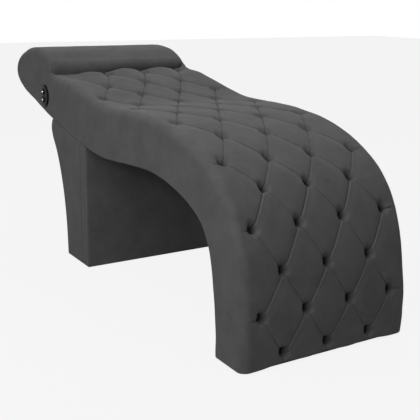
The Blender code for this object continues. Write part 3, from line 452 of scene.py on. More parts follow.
class Finish(Nodes):
    """A new material: its nodes, its shader's inputs and the place on the object that it reads."""

    def __init__(self, name, color, roughness, metallic=0.0, **sockets):
        self.material = bpy.data.materials.new(name)
        self.material.use_nodes = True
        super().__init__(self.material.node_tree)
        self.shader = self.tree.nodes["Principled BSDF"]
        values = {"Base_Color": (*color, 1), "Roughness": roughness, "Metallic": metallic, **sockets}
        for word, value in values.items():
            self.shader.inputs[word.replace("_", " ")].default_value = value
        self.place = self.add("ShaderNodeTexCoord", out="Object")

    def drive(self, word, source):
        self.put(self.shader.inputs[word], source)

    def paint(self, value, *stops):
        self.drive("Base Color", self.ramp(value, *stops))

    def noise(self, scale, detail=2.0, roughness=0.5, stretch=None):
        place = self.vector("MULTIPLY", self.place, stretch) if stretch else self.place
        inputs = {"Vector": place, "Scale": scale, "Detail": detail, "Roughness": roughness}
        return self.add("ShaderNodeTexNoise", inputs)

    def bump(self, height, distance, strength):
        inputs = {"Height": height, "Distance": distance, "Strength": strength}
        self.drive("Normal", self.add("ShaderNodeBump", inputs))


def times(color, share):
    return tuple(part * share for part in color)


def suede(name, base):
    """Short-napped microfibre: brushed light and dark patches, a fuzzy face, a soft sheen, and painted
    shade that darkens the deep tufting pits.
    """
    made = Finish(
        name, base, 0.95, Sheen_Weight=0.12, Sheen_Roughness=0.45, Specular_IOR_Level=0.20,
        Sheen_Tint=(0.8, 0.8, 0.8, 1),
    )
    brushed, patches = made.noise(11.0, 4.0, 0.62), made.noise(38.0, 3.0, 0.55)
    nap = made.noise(420.0, 2.0, 0.6)
    both = brushed * 0.6 + patches * 0.3 + nap * 0.1
    napped = made.ramp(both, (0.30, times(base, 0.80)), (0.70, times(base, 1.20)))
    # mask of the painted shade in the pits, set by how deep the tufting sank each point
    pit_shade = made.add("ShaderNodeAttribute", out="Fac", attribute_name="pit_shade")
    # inputs 6 and 7 are the two colours: the brushed suede, and painted shade at 0.12 of its tone for
    # the deep pits
    mixed = {0: pit_shade, 6: napped, 7: (*times(base, 0.12), 1)}
    made.drive("Base Color", made.add("ShaderNodeMix", mixed, 2, data_type="RGBA"))
    made.bump(nap * 0.5 + made.noise(1500.0, 3.0, 0.7), 0.0004, 0.6)
    return made.material


def grained(name, color, dark, stretch, ring_scale, roughness):
    """Raw wood: long fibres and slow growth bands that run along the bed."""
    made = Finish(name, color, roughness)
    fibres = made.noise(60.0, 5.0, 0.65, stretch)
    bands = made.add("ShaderNodeTexWave", {
        "Vector": made.vector("MULTIPLY", made.place, stretch), "Scale": ring_scale,
        "Distortion": 6.0, "Detail": 3.0, "Detail Scale": 1.4,
    }, 1)
    made.paint(fibres * 0.65 + bands * 0.35, (0.28, dark), (0.72, color))
    made.bump(fibres, 0.0004, 0.5)
    return made.material


def pressed_board(name, color):
    """Hardboard: short brown fibres pressed flat, with darker flecks."""
    made = Finish(name, color, 0.72)
    fibres = made.noise(420.0, 4.0, 0.7)
    both = fibres * 0.6 + made.noise(18.0, 3.0, 0.5) * 0.4
    made.paint(both, (0.3, times(color, 0.62)), (0.7, times(color, 1.18)))
    made.bump(fibres, 0.0003, 0.5)
    return made.material


def metal(name, color, roughness, spread, scale):
    """Bright metal whose gloss varies from grain to grain."""
    made = Finish(name, color, roughness, 1.0)
    grains = made.add("ShaderNodeTexVoronoi", {"Vector": made.place, "Scale": scale}, "Color")
    grey = made.vector("DOT_PRODUCT", grains, (0.33, 0.33, 0.33), out="Value")
    made.drive("Roughness", made.span(grey, 0.0, 1.0, roughness - spread, roughness + spread))
    made.paint(grey, (0.2, times(color, 0.82)), (0.8, color))
    made.bump(made.noise(scale * 3), 0.0001, 0.3)
    return made.material


def moulded(name, color, roughness, grain, depth, specular):
    """Moulded plastic or rubber: one dark colour, a fine moulded grain and faint handling marks."""
    made = Finish(name, color, roughness, Specular_IOR_Level=specular)
    marks = made.noise(90.0, 4.0, 0.7)
    made.drive("Roughness", made.span(marks, 0.3, 0.7, roughness * 0.8, roughness * 1.25))
    made.paint(marks, (0.35, color), (0.8, tuple(part * 1.5 + 0.002 for part in color)))
    made.bump(made.noise(grain), depth, 0.4)
    return made.material


def bonded_cloth(name, color):
    """Non-woven dust cloth: bonded fibres laid every way and a grid of small pressed spots."""
    made = Finish(name, color, 0.9, Sheen_Weight=0.1)
    spots = {"Vector": made.place, "Scale": 700.0, "Randomness": 0.0}
    spots = made.add("ShaderNodeTexVoronoi", spots, "Distance")
    fibres, crossing = (
        made.noise(1400.0, 3.0, 0.7, stretch) for stretch in ((1.0, 0.25, 1.0), (0.25, 1.0, 1.0))
    )
    both = (fibres + crossing) * 0.5
    made.paint(both, (0.35, color), (0.65, times(color, 2.4)))
    made.bump(both + spots * 0.6, 0.0002, 0.8)
    return made.material


def sewing_thread(name, color):
    """Thread in two shades along its twist."""
    made = Finish(name, color, 0.7, Sheen_Weight=0.2)
    twist = {"Vector": made.place, "Scale": 900.0, "Distortion": 1.0}
    twist = made.add("ShaderNodeTexWave", twist, 1)
    made.paint(twist, (0.2, times(color, 0.7)), (0.8, color))
    made.bump(twist, 0.0001, 0.5)
    return made.material


SUEDE = suede("grey_suede", (0.098, 0.098, 0.098))
THREAD = sewing_thread("grey_thread", (0.11, 0.11, 0.11))
POLISHED = metal("polished_cap", (0.80, 0.80, 0.81), 0.10, 0.03, 400.0)
PLY, PINE = ((0.55, 0.40, 0.24), (0.42, 0.28, 0.15)), ((0.68, 0.52, 0.33), (0.50, 0.33, 0.17))
FINISHES = {
    "suede_fabric": SUEDE,
    "hardboard": pressed_board("raw_hardboard", (0.32, 0.20, 0.12)),
    "plywood": grained("raw_plywood", *PLY, (1.0, 0.12, 1.0), 3.0, 0.68),
    "pine": grained("raw_pine", *PINE, (0.12, 1.0, 1.0), 7.0, 0.62),
    "dust_cloth": bonded_cloth("black_dust_cloth", (0.016, 0.016, 0.017)),
    "zinc_steel": metal("zinc_plated_steel", (0.62, 0.63, 0.64), 0.34, 0.10, 260.0),
    "spring_steel": metal("spring_wire", (0.55, 0.55, 0.56), 0.28, 0.06, 900.0),
    "black_plastic": moulded("glossy_black_moulding", (0.010, 0.010, 0.011), 0.16, 900.0, 0.00002, 0.03),
    "dark_plastic": moulded("matt_black_moulding", (0.030, 0.030, 0.032), 0.52, 1100.0, 0.00015, 0.4),
    "lead_rubber": moulded("lead_sheath", (0.015, 0.015, 0.016), 0.55, 1500.0, 0.0001, 0.4),
}


# The bed's covers: one grid of points over the mattress, its sides and the headrest

def mattress_distances():
    """Distances up the lying line that follow the tuft rows, each with its row count."""
    turn = PAD_LENGTH - CREASE_ROUND
    stops = [HEM_ROUND, *TUFT_ROWS, turn]
    counts = [CELL_STEPS // 4, *[CELL_STEPS] * (len(TUFT_ROWS) - 1), CELL_STEPS // 2]
    spans = [np.linspace(*ends, count + 1)[:-1] for *ends, count in zip(stops, stops[1:], counts)]
    hem = HEM_ROUND * (1 - np.cos(quarter(4)[:-1]))
    distances = np.concatenate((hem, *spans, turn + CREASE_ROUND * np.sin(quarter(CELL_STEPS // 3))))
    rows = np.interp(distances, TUFT_ROWS, np.arange(len(TUFT_ROWS)))
    rows = rows + np.minimum(distances - TUFT_ROWS[0], 0) / (TUFT_ROWS[1] - TUFT_ROWS[0])
    rows = rows + np.maximum(distances - TUFT_ROWS[-1], 0) / (TUFT_ROWS[-1] - TUFT_ROWS[-2])
    return distances, rows


DISTANCES, MATTRESS_ROWS = mattress_distances()
COUNT = len(DISTANCES)


def half_columns(length):
    """The right half of a cross row: how far out, and how deep below the top, each point lies."""
    widest = WIDEST * HALF_PITCH
    top = np.linspace(0, widest, WIDEST * CELL_STEPS + 1)
    beyond = np.linspace(widest, HALF_WIDTH - EDGE_ROUND, CELL_STEPS // 4 + 1)[1:]
    top = np.concatenate((top, beyond))
    top_reach = np.minimum(EDGE_ROUND, length * ROUND_SHARES[0])
    low_reach = np.minimum(SEAM_ROUND, length * ROUND_SHARES[1])
    straight = length - low_reach - top_reach
    side = [top_reach * (1 - math.cos(angle)) for angle in quarter(CELL_STEPS // 3)[1:]]
    side += [top_reach + straight * share for share in np.linspace(0, 1, SIDE_STEPS + 1)[1:]]
    side += [length - low_reach + low_reach * math.sin(angle) for angle in quarter(4)[1:]]
    out = [np.full_like(length, x) for x in top]
    for deep in side:
        drawn = rounded_drop(deep, EDGE_ROUND) + rounded_drop(length - deep, SEAM_ROUND)
        out.append(HALF_WIDTH - drawn)
    depth = [np.zeros_like(length)] * len(top) + side
    return np.stack(out, axis=1), np.stack(depth, axis=1), len(top)


def crossing_lines():
    """Centre and edge line, each with its outward directions, and the under line, row by row."""
    head = placed(headrest_shares)
    joined = HEAD_STEPS // 3
    near = np.linspace(0, 1, joined + 1)[1:] ** HEAD_POWERS[0]
    beyond = 1 - (1 - np.linspace(0, 1, HEAD_STEPS - joined + 1)[1:]) ** HEAD_POWERS[1]

    def over_head(lift, between):
        """A line up the mattress that goes on over the headrest."""
        points = LYING.at(DISTANCES, lift)
        line = Line(np.vstack((points[-1:], placed(between), head)))
        start = float(line.nearest(head[:1])[0])
        stops = np.concatenate((start * near, start + (line.length - start) * beyond))
        outward = np.vstack((LYING.outward(DISTANCES), line.outward(stops)))
        return np.vstack((points, line.at(stops))), outward

    sunk = rounded_drop(PAD_LENGTH - DISTANCES, CREASE_ROUND)
    filled = CREASE_FILL * eased(DISTANCES, PAD_LENGTH - FILL_REACH, PAD_LENGTH)
    under = np.maximum.accumulate(UNDER.nearest(LYING.at(DISTANCES)))
    width = 2 * (CELL_STEPS // 2) + 1
    padded = np.pad(under, width // 2, constant_values=(0.0, under[-1]))
    under = np.convolve(padded, np.ones(width) / width, "valid")
    share = eased(DISTANCES, 0, UNDER_BLEND) ** 0.5
    under = np.maximum.accumulate(under * share + DISTANCES * (1 - share))
    tail = under[-1] + (UNDER.length - under[-1]) * np.linspace(0, 1, HEAD_STEPS + 1)[1:]
    under = UNDER.at(np.concatenate((under, tail)))
    return *over_head(-sunk, crease_shares), *over_head(filled, filled_shares), under


def cover_grid():
    """Points of the whole cover, with each point's outward direction and place in the tufting."""
    centre, centre_out, edge, edge_out, low = crossing_lines()
    rows = np.concatenate((MATTRESS_ROWS, np.full(HEAD_STEPS, MATTRESS_ROWS[-1] + 1.0)))
    length = np.linalg.norm(edge - low, axis=1)
    out, depth, tops = half_columns(length)
    sunk = eased(out, CREASE_FROM, CREASE_TO)[..., None]
    top = edge[:, None] * (1 - sunk) + centre[:, None] * sunk
    dip = 1 - eased(np.arange(HEAD_STEPS), 0, HEAD_STEPS // 4)
    dip = np.concatenate((eased(DISTANCES, *DIP_ALONG), dip))[:, None]
    top -= edge_out[:, None] * (HEAD_DIP * dip * eased(out, *DIP_ACROSS))[..., None]
    share = (depth / np.maximum(length, 1e-9)[:, None])[..., None]
    flat = top + (low[:, None] - top) * share

    lean = np.clip((out - (HALF_WIDTH - EDGE_ROUND)) / EDGE_ROUND, 0, 1)
    lean = np.where(depth > EDGE_ROUND, 1.0, lean)
    facing = edge_out[:, None] * (1 - sunk) + centre_out[:, None] * sunk
    facing = facing / np.linalg.norm(facing, axis=2, keepdims=True)
    upright = np.sqrt(np.maximum(1 - lean**2, 0))[..., None]
    direction = np.concatenate((lean[..., None], facing * upright), axis=2)
    hem = rounded_drop(np.concatenate((DISTANCES, np.full(HEAD_STEPS, 1.0))), HEM_ROUND)
    points = np.concatenate((out[..., None], flat), axis=2) - direction * hem[:, None, None]
    # the floor row stays on the floor
    points[0, :, 2] = FLOOR_GAP

    weight = 1 - eased(out, *TUFTED_TO)
    weight[:COUNT, tops + CELL_STEPS // 3:] = 0
    faded = FOOT_STRENGTH + FOOT_GAIN * eased(DISTANCES, 0, FOOT_FADE)
    faded = np.concatenate((faded, PAST_CREASE, np.zeros(HEAD_STEPS - len(PAST_CREASE))))
    weight *= faded[:, None]
    column = out / HALF_PITCH
    lattice = np.stack((column, np.broadcast_to(rows[:, None], column.shape), weight), axis=2)

    def whole(values, sign):
        """Both halves of a row, from the right one: this is the sign of the left one's first value."""
        other = values[:, :0:-1].copy()
        other[..., 0] *= sign
        return np.concatenate((other, values), axis=1)

    points, direction, lattice = (whole(values, -1) for values in (points, direction, lattice))
    share = whole(share, 1)[..., 0]
    left = eased(-points[..., 0], *LEFT_ACROSS) * (1 - share)
    points[..., 2] -= LEFT_DIP * dip * left
    rise, fall = ([CREASE_Y + y for y in ends] for ends in (LEFT_BACK_FROM, LEFT_BACK_TO))
    near_crease = eased(centre[:, 0], *rise) * (1 - eased(centre[:, 0], *fall))
    points[..., 1] += LEFT_BACK * near_crease[:, None] * left**1.5
    last = len(TUFT_ROWS) - 1
    pulled = eased(rows, last - SINK_ROWS, last)
    pulled[COUNT:] = 0
    pulled[:COUNT] *= 1 - eased(DISTANCES, PAD_LENGTH - SINK_END, PAD_LENGTH)
    between = np.cos(math.pi * np.clip(lattice[..., 0], -WIDEST, WIDEST))
    points[..., 2] -= CREASE_SINK * pulled[:, None] * (1 - between) / 2 * (1 - share)
    fainter = LEFT_FAINT * eased(rows, *(last - back for back in FAINT_ROWS))[:, None]
    lattice[..., 2] *= 1 - fainter * eased(-points[..., 0], *FAINT_ACROSS)
    return points, direction, lattice, low


def tufting_tree():
    """Sinks a cover into diamonds: a crown between folds, crisp folds, and pits at the buttons."""
    tree, nodes, given = shape_tree("Tufting", tuft_sizes)
    lattice = nodes.add("ShaderNodeSeparateXYZ", {0: nodes.attribute("lattice")})
    column, row, weight = nodes.outputs(lattice).values()
    last = float(len(TUFT_ROWS) - 1)
    held_column = nodes.add("ShaderNodeClamp", {0: column, 1: -float(WIDEST), 2: float(WIDEST)})
    held_row = nodes.add("ShaderNodeClamp", {0: row, 1: 0.0, 2: last})
    lines = held_column - held_row, held_column + held_row
    rises = [nodes.math("WRAP", line, 1.0, -1.0) for line in lines]
    over_column = column - held_column
    across = ((rises[0] + rises[1]) * 0.5 + over_column) * HALF_PITCH
    row_gap = (TUFT_ROWS[-1] - TUFT_ROWS[0]) / last
    lengthwise = ((rises[1] - rises[0]) * 0.5 + (row - held_row)) * row_gap

    def faded(across, along, power=1.0):
        """1 in the middle, falling off like a bell with each share of its reach."""
        return nodes.exp((across * across + along * along) ** power * -1.0)

    # how far into a pit a point lies: pits are drawn out towards the head
    headward = lengthwise > 0.0
    reach = given["Pit fall"] + (given["Pit rise"] - given["Pit fall"]) * headward
    leant = across + lengthwise * headward * given["Pit lean"]
    pit = faded(leant / given["Pit width"], lengthwise / reach, PIT_POWER)
    gather = faded(across / given["Gather reach"], lengthwise / given["Gather reach"])
    gather = gather * given["Fold gather"]

    # each fold is a groove with the cloth of its right side lapped over it
    downhill = nodes.math("FRACT", lines[0] * 0.5)
    upper = nodes.span(row, *UPPER_ROWS, 0.0, 1.0)
    gain, tilt, least, loss = FOLD_STRENGTHS
    strengths = upper * gain + 1.0, (downhill * tilt + least) * (1.0 - upper * loss)
    beside = 1.0 - (nodes.math("ABSOLUTE", over_column) > 0.0) * BESIDE_LOSS
    spot = nodes.add("GeometryNodeInputPosition")
    uneven = {"Vector": spot, "Scale": given["Uneven scale"], "Detail": 1.0}
    uneven = nodes.span(nodes.add("ShaderNodeTexNoise", uneven), *UNEVEN_SPAN)
    crown, folds = 1.0, []
    for rise, strength in zip(rises, strengths):
        lapped = rise > 0.0
        away = nodes.math("ABSOLUTE", rise) * given["Cell reach"]
        left = 1.0 - nodes.math("MINIMUM", away / given["Crown reach"], 1.0)
        crown = (1.0 - left * left) * crown
        groove = nodes.exp(away * (lapped * LAP_STEEPER + 1.0) / given["Fold reach"] * -1.0)
        groove = groove * (given["Fold depth"] + gather)
        share = away / given["Lip reach"]
        lip = share * nodes.exp(1.0 - share) * lapped * given["Lip height"]
        folds.append((groove - lip) * strength * beside * uneven)
    depth = (1.0 - crown) * given["Crown height"] + (folds[0] + folds[1])
    depth = (depth + pit * given["Pit depth"]) * weight
    slack = {"Vector": spot, "Scale": given["Slack scale"], "Detail": 2.0}
    slack = (nodes.add("ShaderNodeTexNoise", slack) - 0.5) * given["Slack"]
    depth = depth - slack * 2.0
    offset = nodes.vector("SCALE", nodes.attribute("outward"), Scale=depth * -1.0)
    moved = {"Geometry": given["Geometry"], "Offset": offset}
    finish_tree(nodes, nodes.add("GeometryNodeSetPosition", moved), SUEDE)
    return tree


def tufted(points, direction, lattice):
    """The cover's points after tufting."""
    columns = points.shape[1]
    mesh = mesh_of("cover_guide", points.reshape(-1, 3), [(0, 1, columns + 1, columns)])
    keep_values(mesh, "outward", direction)
    keep_values(mesh, "lattice", lattice)
    result = grown("cover_points", linked("cover_guide", mesh), tufting_tree(), tuft_sizes)
    found = np.zeros(points.size, np.float32)
    result.data.vertices.foreach_get("co", found)
    bpy.data.objects.remove(result)
    return found.reshape(points.shape).astype(float)


def along_fold(row_numbers, column_numbers):
    """Which way each cell of the tufted grid is cut, so that folds stay crisp."""
    def split(r, c):
        p = np.clip(column_numbers[c] + column_numbers[c + 1], -2 * WIDEST, 2 * WIDEST) / 2
        q = np.clip(row_numbers[r] + row_numbers[r + 1], 0, 2 * len(TUFT_ROWS) - 2) / 2
        fall = abs((p - q + 1) % 2 - 1)
        rise = abs((p + q + 1) % 2 - 1)
        return fall < rise
    return split


def bounded_depth(points):
    """Lifts what the tufts have drawn deeper than the padding allows, ever more slowly."""
    facing, pad = LYING.outward(DISTANCES)[:, None], points[:COUNT]
    depth = ((LYING.at(DISTANCES)[:, None] - pad[..., 1:]) * facing).sum(axis=2)
    spare = DEEPEST_PIT - FREE_DEPTH
    held = FREE_DEPTH + spare * (1 - np.exp(-np.maximum(depth - FREE_DEPTH, 0) / spare))
    excess = np.where(np.abs(pad[..., 0]) < HALF_WIDTH - 0.03, np.maximum(depth - held, 0), 0)
    excess *= (1 - eased(DISTANCES, PAD_LENGTH - 0.010, PAD_LENGTH))[:, None]
    pad[..., 1:] += facing * excess[..., None]


def shape_foot(points, direction, column):
    """Swells the foot's right side, and bows, scallops and flares its hem."""
    inward = np.abs(points[..., 0]) / HALF_WIDTH
    hem = HEM_HEIGHT + HEM_RISE * (1 - np.minimum(inward, 1) ** 6)
    hem += HEM_SCALLOP * np.cos(math.pi * column) * (1 - eased(inward, *HEM_ENDS))
    near_floor = 1 - eased(points[..., 2], 0, HEM_REACH)
    swell = eased(points[..., 2], *SWELL_FROM) * (1 - eased(points[..., 2], *SWELL_TO))
    points[..., 0] += RIGHT_SWELL * np.maximum(direction[..., 0], 0) * swell * (points[..., 1] < 0)
    points[..., :2] += HEM_FLARE * direction[..., :2] * near_floor[..., None]
    points[..., 2] += (hem - FLOOR_GAP) * near_floor


def pit_places(points, direction, lattice):
    """The points at the middle of the pits, and their outward directions."""
    counts = np.round(lattice[..., :2])
    at_pit = (np.abs(lattice[..., :2] - counts).max(axis=2) < 1e-6) & (counts.sum(axis=2) % 2 == 0)
    at_pit &= (lattice[..., 2] > 0.5) & (np.abs(counts[..., 0]) <= WIDEST)
    at_pit[COUNT:] = False
    return points[at_pit], direction[at_pit]


def headrest_inside(outer, low, start):
    """Inner points of the headrest's cover: along the head rail, then down the frame's end."""
    steps, columns = outer.shape[:2]
    middle = columns // 2
    rail = LYING.at(np.linspace(PAD_LENGTH, LYING.length, 200), -PAD)
    corner = np.array((FRAME_END + END_GAP, np.interp(FRAME_END, *rail.T)))
    foot = np.array((FRAME_END + END_GAP, UNDER.at(np.array(UNDER_END))[1]))
    end_base = foot + (corner - foot) * LIP_SHARE
    inside = np.zeros_like(outer)
    for r in range(steps):
        share = r / (steps - 1)
        t = min(share / ALONG_RAIL, 1)
        y = start[0] + (corner[0] - start[0]) * t
        top = np.array((y, np.interp(y, *rail.T))) if r else start
        if t == 1:
            down = share - ALONG_RAIL
            top = corner + (foot - corner) * down / DOWN_END if down > 0 else corner
        base = low[r] if low[r][0] < FRAME_END else foot
        base = base + (top - base) * LIP_SHARE
        for c in range(columns):
            x = outer[r, c, 0]
            if abs(x) < INNER_X - 0.006 and abs(c - middle) < columns / 2 - SIDE_STEPS - 6:
                inside[r, c] = (x, *top)
                continue
            height = min(min(c, columns - 1 - c) / (SIDE_STEPS + 4), 1)
            if t == 1:
                # past the frame's end, points that fall together merge into its edge
                height = min(height, (1 - share) / DOWN_END) * END_LEVELS
                height = math.floor(height + 0.001) / END_LEVELS
                spot = end_base + (corner - end_base) * height
            else:
                spot = base + (top - base) * height
            inside[r, c] = (math.copysign(INNER_X, c - middle), *spot)
    return inside


def make_bed_covers():
    """The mattress cover, the headrest cover and the places of the pits."""
    untufted, direction, lattice, low = cover_grid()
    points = tufted(untufted, direction, lattice)
    # painted shade: the deeper the tufting sinks a point, the darker its suede is painted
    pit_shade = eased(((untufted - points) * direction).sum(axis=2), *PIT_SHADE_DEPTHS)
    points[0, :, 2] = untufted[0, :, 2]
    points[1:, :, 2] = np.maximum(points[1:, :, 2], FLOOR_GAP)
    bounded_depth(points)
    shape_foot(points, direction, lattice[..., 0])

    roof = LYING.at(DISTANCES, -PAD)
    roof[0, 1] = FLOOR_GAP
    lip = low[:COUNT] + (LYING.at(DISTANCES) - low[:COUNT]) * LIP_SHARE
    inner = np.zeros((COUNT, 4, 3))
    inner[..., 0] = -INNER_X, -INNER_X, INNER_X, INNER_X
    inner[..., 1:] = np.stack((lip, roof, roof, lip), axis=1)
    split = along_fold(lattice[:COUNT, 0, 1], lattice[0, :, 0])
    mattress = closed_shell(
        "mattress_cover", points[:COUNT], inner, SUEDE, split, pit_shade=pit_shade[:COUNT],
    )
    outer = points[COUNT - 1:]
    inside = headrest_inside(outer, low[COUNT - 1:], roof[-1])
    headrest = closed_shell("headrest_cover", outer, inside, SUEDE)
    return mattress, headrest, pit_places(points, direction, lattice)


def make_underside():
    """The thin cover under the bed, from the back of the foot to the head end."""
    stops = np.linspace(0, UNDER_END, 160)
    edge = HALF_WIDTH - UNDER_INSET
    across = edge * np.sin(np.linspace(-math.pi / 2, math.pi / 2, 25))
    drawn = UNDER_DRAWN * (np.abs(across) / edge) ** 24
    outer = np.zeros((len(stops), len(across), 3))
    inner = outer.copy()
    for k, x in enumerate(across):
        outer[:, k, 0] = inner[:, k, 0] = x
        outer[:, k, 1:] = UNDER.at(stops, -drawn[k])
        inner[:, k, 1:] = UNDER.at(stops, -UNDER_COVER)
    outer[0, :, 2] = inner[0, :, 2] = HEM_HEIGHT
    return closed_shell("underside_cover", outer, inner, SUEDE, flipped=True), (2 * edge, UNDER_END)


mattress_cover, headrest_cover, pits = make_bed_covers()
underside_cover, UNDER_FLAT = make_underside()


# Pedestal covers

FRONT_WRAP = 0.020
FRONT_CORNER = 0.006
CHANNEL_AT = 0.052
CHANNEL_DEPTH = 0.0030
CHANNEL_REACH = 0.0030
CHANNEL_COLUMNS = 0.0195, 0.0535
PEDESTAL_COVER = 0.008
PANEL_ROUND = 0.0045
BACK_INSET = 0.006
ROOF_GAP = 0.0006
SIDE_SIZE = 0.26, 0.48
BACK_EDGE = HALF_WIDTH - 0.0005
SIDE_SWELL, FRONT_SWELL = 0.0012, 0.0015


def eased_steps(count, length, radius):
    """Distances from 0 to length, close together in the rounding at either end."""
    turn = radius * (1 - np.cos(quarter(5)))[:-1]
    return np.concatenate((turn, np.linspace(radius, length - radius, count), (length - turn)[::-1]))


def roof_height(y):
    return np.interp(y, UNDER.points[:, 0], UNDER.points[:, 1]) - ROOF_GAP


BACK_OVER = BACK.points[:, 1] - roof_height(BACK.points[:, 0])
BACK_TOP = BACK.along[int(np.argmax(BACK_OVER > 0))]
FRONT_TOP = float(roof_height(PEDESTAL_FRONT))


def padded_panel(name, spot, widths, heights, inward, flipped, channel=None):
    """A padded cover: spot(across, up) gives its face, which turns in at every edge.

    A channel is sewn down its face at this Y.
    """
    across = eased_steps(30, widths, PANEL_ROUND)
    if channel:
        beside = np.linspace(*CHANNEL_COLUMNS, 26)
        clear = (across < CHANNEL_COLUMNS[0] - 0.001) | (across > CHANNEL_COLUMNS[1] + 0.001)
        across = np.sort(np.concatenate((across[clear], beside)))
    up = eased_steps(40, heights, PANEL_ROUND)
    outer = np.zeros((len(up), len(across), 3))
    inner = outer.copy()
    for r, high in enumerate(up):
        for c, wide in enumerate(across):
            edge = min(wide, widths - wide, high, heights - high)
            face = np.array(spot(wide / widths, high / heights))
            way = np.array(inward(high / heights))
            swell = SIDE_SWELL * math.sin(math.pi * wide / widths) * math.sin(math.pi * high / heights)
            sewn = 0.0
            if channel:
                sewn = CHANNEL_DEPTH * math.exp(-((face[1] - channel) / CHANNEL_REACH) ** 2)
            outer[r, c] = face + way * (float(rounded_drop(edge, PANEL_ROUND)) - swell + sewn)
            inner[r, c] = face + way * PEDESTAL_COVER
    return closed_shell(name, outer, inner, SUEDE, flipped=flipped)


def make_pedestal_front():
    """The front, which wraps a little way round each corner."""
    plan = []
    for back in FRONT_WRAP - PANEL_ROUND * (1 - np.cos(quarter(4))):
        plan.append((-HALF_WIDTH, PEDESTAL_FRONT + back))
    for angle in quarter(6):
        drawn = FRONT_CORNER * (1 - math.cos(angle)), FRONT_CORNER * (1 - math.sin(angle))
        plan.append((-HALF_WIDTH + drawn[0], PEDESTAL_FRONT + drawn[1]))
    turned = len(plan)
    face = HALF_WIDTH - FRONT_CORNER
    plan += [(x, PEDESTAL_FRONT) for x in np.linspace(-face, face, 30)[1:-1]]
    plan = np.array(plan + [(-x, y) for x, y in plan[:turned][::-1]])
    path = lengths(plan)
    path_run = np.gradient(plan, path, axis=0)
    heights = eased_steps(40, 1.0, 0.010)
    outer = np.zeros((len(heights), len(plan), 3))
    inner = outer.copy()
    for r, share in enumerate(heights):
        for c, ((x, y), run) in enumerate(zip(plan, path_run)):
            top = float(roof_height(y))
            z = HEM_HEIGHT + (top - HEM_HEIGHT) * share
            way = np.array((-run[1], run[0])) / math.hypot(*run)
            side = min(path[c], path[-1] - path[c])
            edge = min(z - HEM_HEIGHT, top - z)
            dip = float(rounded_drop(side, PANEL_ROUND) + rounded_drop(edge, PANEL_ROUND))
            swell = FRONT_SWELL * math.sin(math.pi * share) * math.sin(math.pi * path[c] / path[-1])
            outer[r, c] = (*(np.array((x, y)) + way * (dip - swell)), z)
            reach = HALF_WIDTH - PEDESTAL_COVER
            back = max(y, PEDESTAL_FRONT + PEDESTAL_COVER)
            level = HEM_HEIGHT + (float(roof_height(back)) - HEM_HEIGHT) * share
            inner[r, c] = (np.clip(x, -reach, reach), back, level)
    return closed_shell("pedestal_front_padding", outer, inner, SUEDE)


def make_pedestal_side(word, side):
    front = PEDESTAL_FRONT + FRONT_WRAP
    top = np.array((front, FRONT_TOP))
    end = BACK.at(np.array(BACK_TOP), -BACK_INSET)

    def spot(across, up):
        start = np.array((front, FLOOR_GAP + (FRONT_TOP - FLOOR_GAP) * up))
        y, z = start + (BACK.at(np.array(BACK_TOP * up), -BACK_INSET) - start) * across
        y_top, z_top = top + (end - top) * across
        z = HEM_HEIGHT + (z - FLOOR_GAP) * (roof_height(y_top) - HEM_HEIGHT) / (z_top - FLOOR_GAP)
        return side * HALF_WIDTH, y, max(float(z), HEM_HEIGHT)

    return padded_panel(
        "pedestal_side_padding_" + word, spot, *SIDE_SIZE, lambda up: (-side, 0, 0), side < 0,
        PEDESTAL_FRONT + CHANNEL_AT,
    )


def make_pedestal_back():
    def spot(across, up):
        return BACK_EDGE * (2 * across - 1), *BACK.at(np.array(BACK_TOP * up))

    def inward(up):
        return 0, *-BACK.outward(np.array(BACK_TOP * up))

    return padded_panel("pedestal_back_padding", spot, 0.6, float(BACK_TOP), inward, True)


pedestal_front = make_pedestal_front()
pedestal_sides = [make_pedestal_side("left", -1), make_pedestal_side("right", 1)]
pedestal_back = make_pedestal_back()


# What repeats: covered buttons, stitches and staples

def laid_along(nodes, guide, size):
    """Points at equal steps along a guide line, each turned to follow it."""
    line = nodes.add("GeometryNodeMeshToCurve", {0: guide})
    spots = nodes.add("GeometryNodeCurveToPoints", {"Curve": line, "Length": size}, mode="LENGTH")
    outputs = nodes.outputs(spots)
    turned = nodes.add("FunctionNodeAlignRotationToVector", {"Vector": outputs["Tangent"]}, axis="X")
    return outputs["Points"], turned


def set_on(nodes, spots, turned, shape, material):
    inputs = {"Points": spots, "Instance": shape, "Rotation": turned}
    finish_tree(nodes, nodes.add("GeometryNodeInstanceOnPoints", inputs), material)


def oval(nodes, segments, rings, *size):
    ball = {"Segments": segments, "Rings": rings, "Radius": 0.5}
    ball = nodes.add("GeometryNodeMeshUVSphere", ball)
    size = nodes.add("ShaderNodeCombineXYZ", enumerate(size))
    shape = nodes.add("GeometryNodeTransform", {"Geometry": ball, "Scale": size})
    return nodes.add("GeometryNodeSetShadeSmooth", {"Geometry": shape})


def make_tuft_buttons():
    sizes = {"Button width": 0.0175, "Button height": 0.0075, "Lift": 0.0030}
    tree, nodes, given = shape_tree("Covered buttons", sizes)
    way = nodes.attribute("outward")
    raised = nodes.vector("SCALE", way, Scale=given["Lift"])
    spots = nodes.add("GeometryNodeSetPosition", {"Geometry": given["Geometry"], "Offset": raised})
    spots = nodes.add("GeometryNodeMeshToPoints", {"Mesh": spots})
    turned = nodes.add("FunctionNodeAlignRotationToVector", {"Vector": way}, axis="Z")
    width = given["Button width"]
    set_on(nodes, spots, turned, oval(nodes, 18, 10, width, width, given["Button height"]), SUEDE)
    places, outward = pits
    mesh = mesh_of("button_places", places, [])
    keep_values(mesh, "outward", outward)
    return grown("tuft_buttons", linked("button_places", mesh), tree, sizes)


def guide_lines(name, lines):
    """One object with an edge line for each list of points."""
    mesh = bpy.data.meshes.new(name)
    points, edges = [], []
    for line in lines:
        start = len(points)
        points += [tuple(point) for point in line]
        edges += [(k, k + 1) for k in range(start, len(points) - 1)]
    mesh.from_pydata(points, edges, [])
    return linked(name, mesh)


SEAM_APART = 0.0072
STITCHES_FROM = 0.012
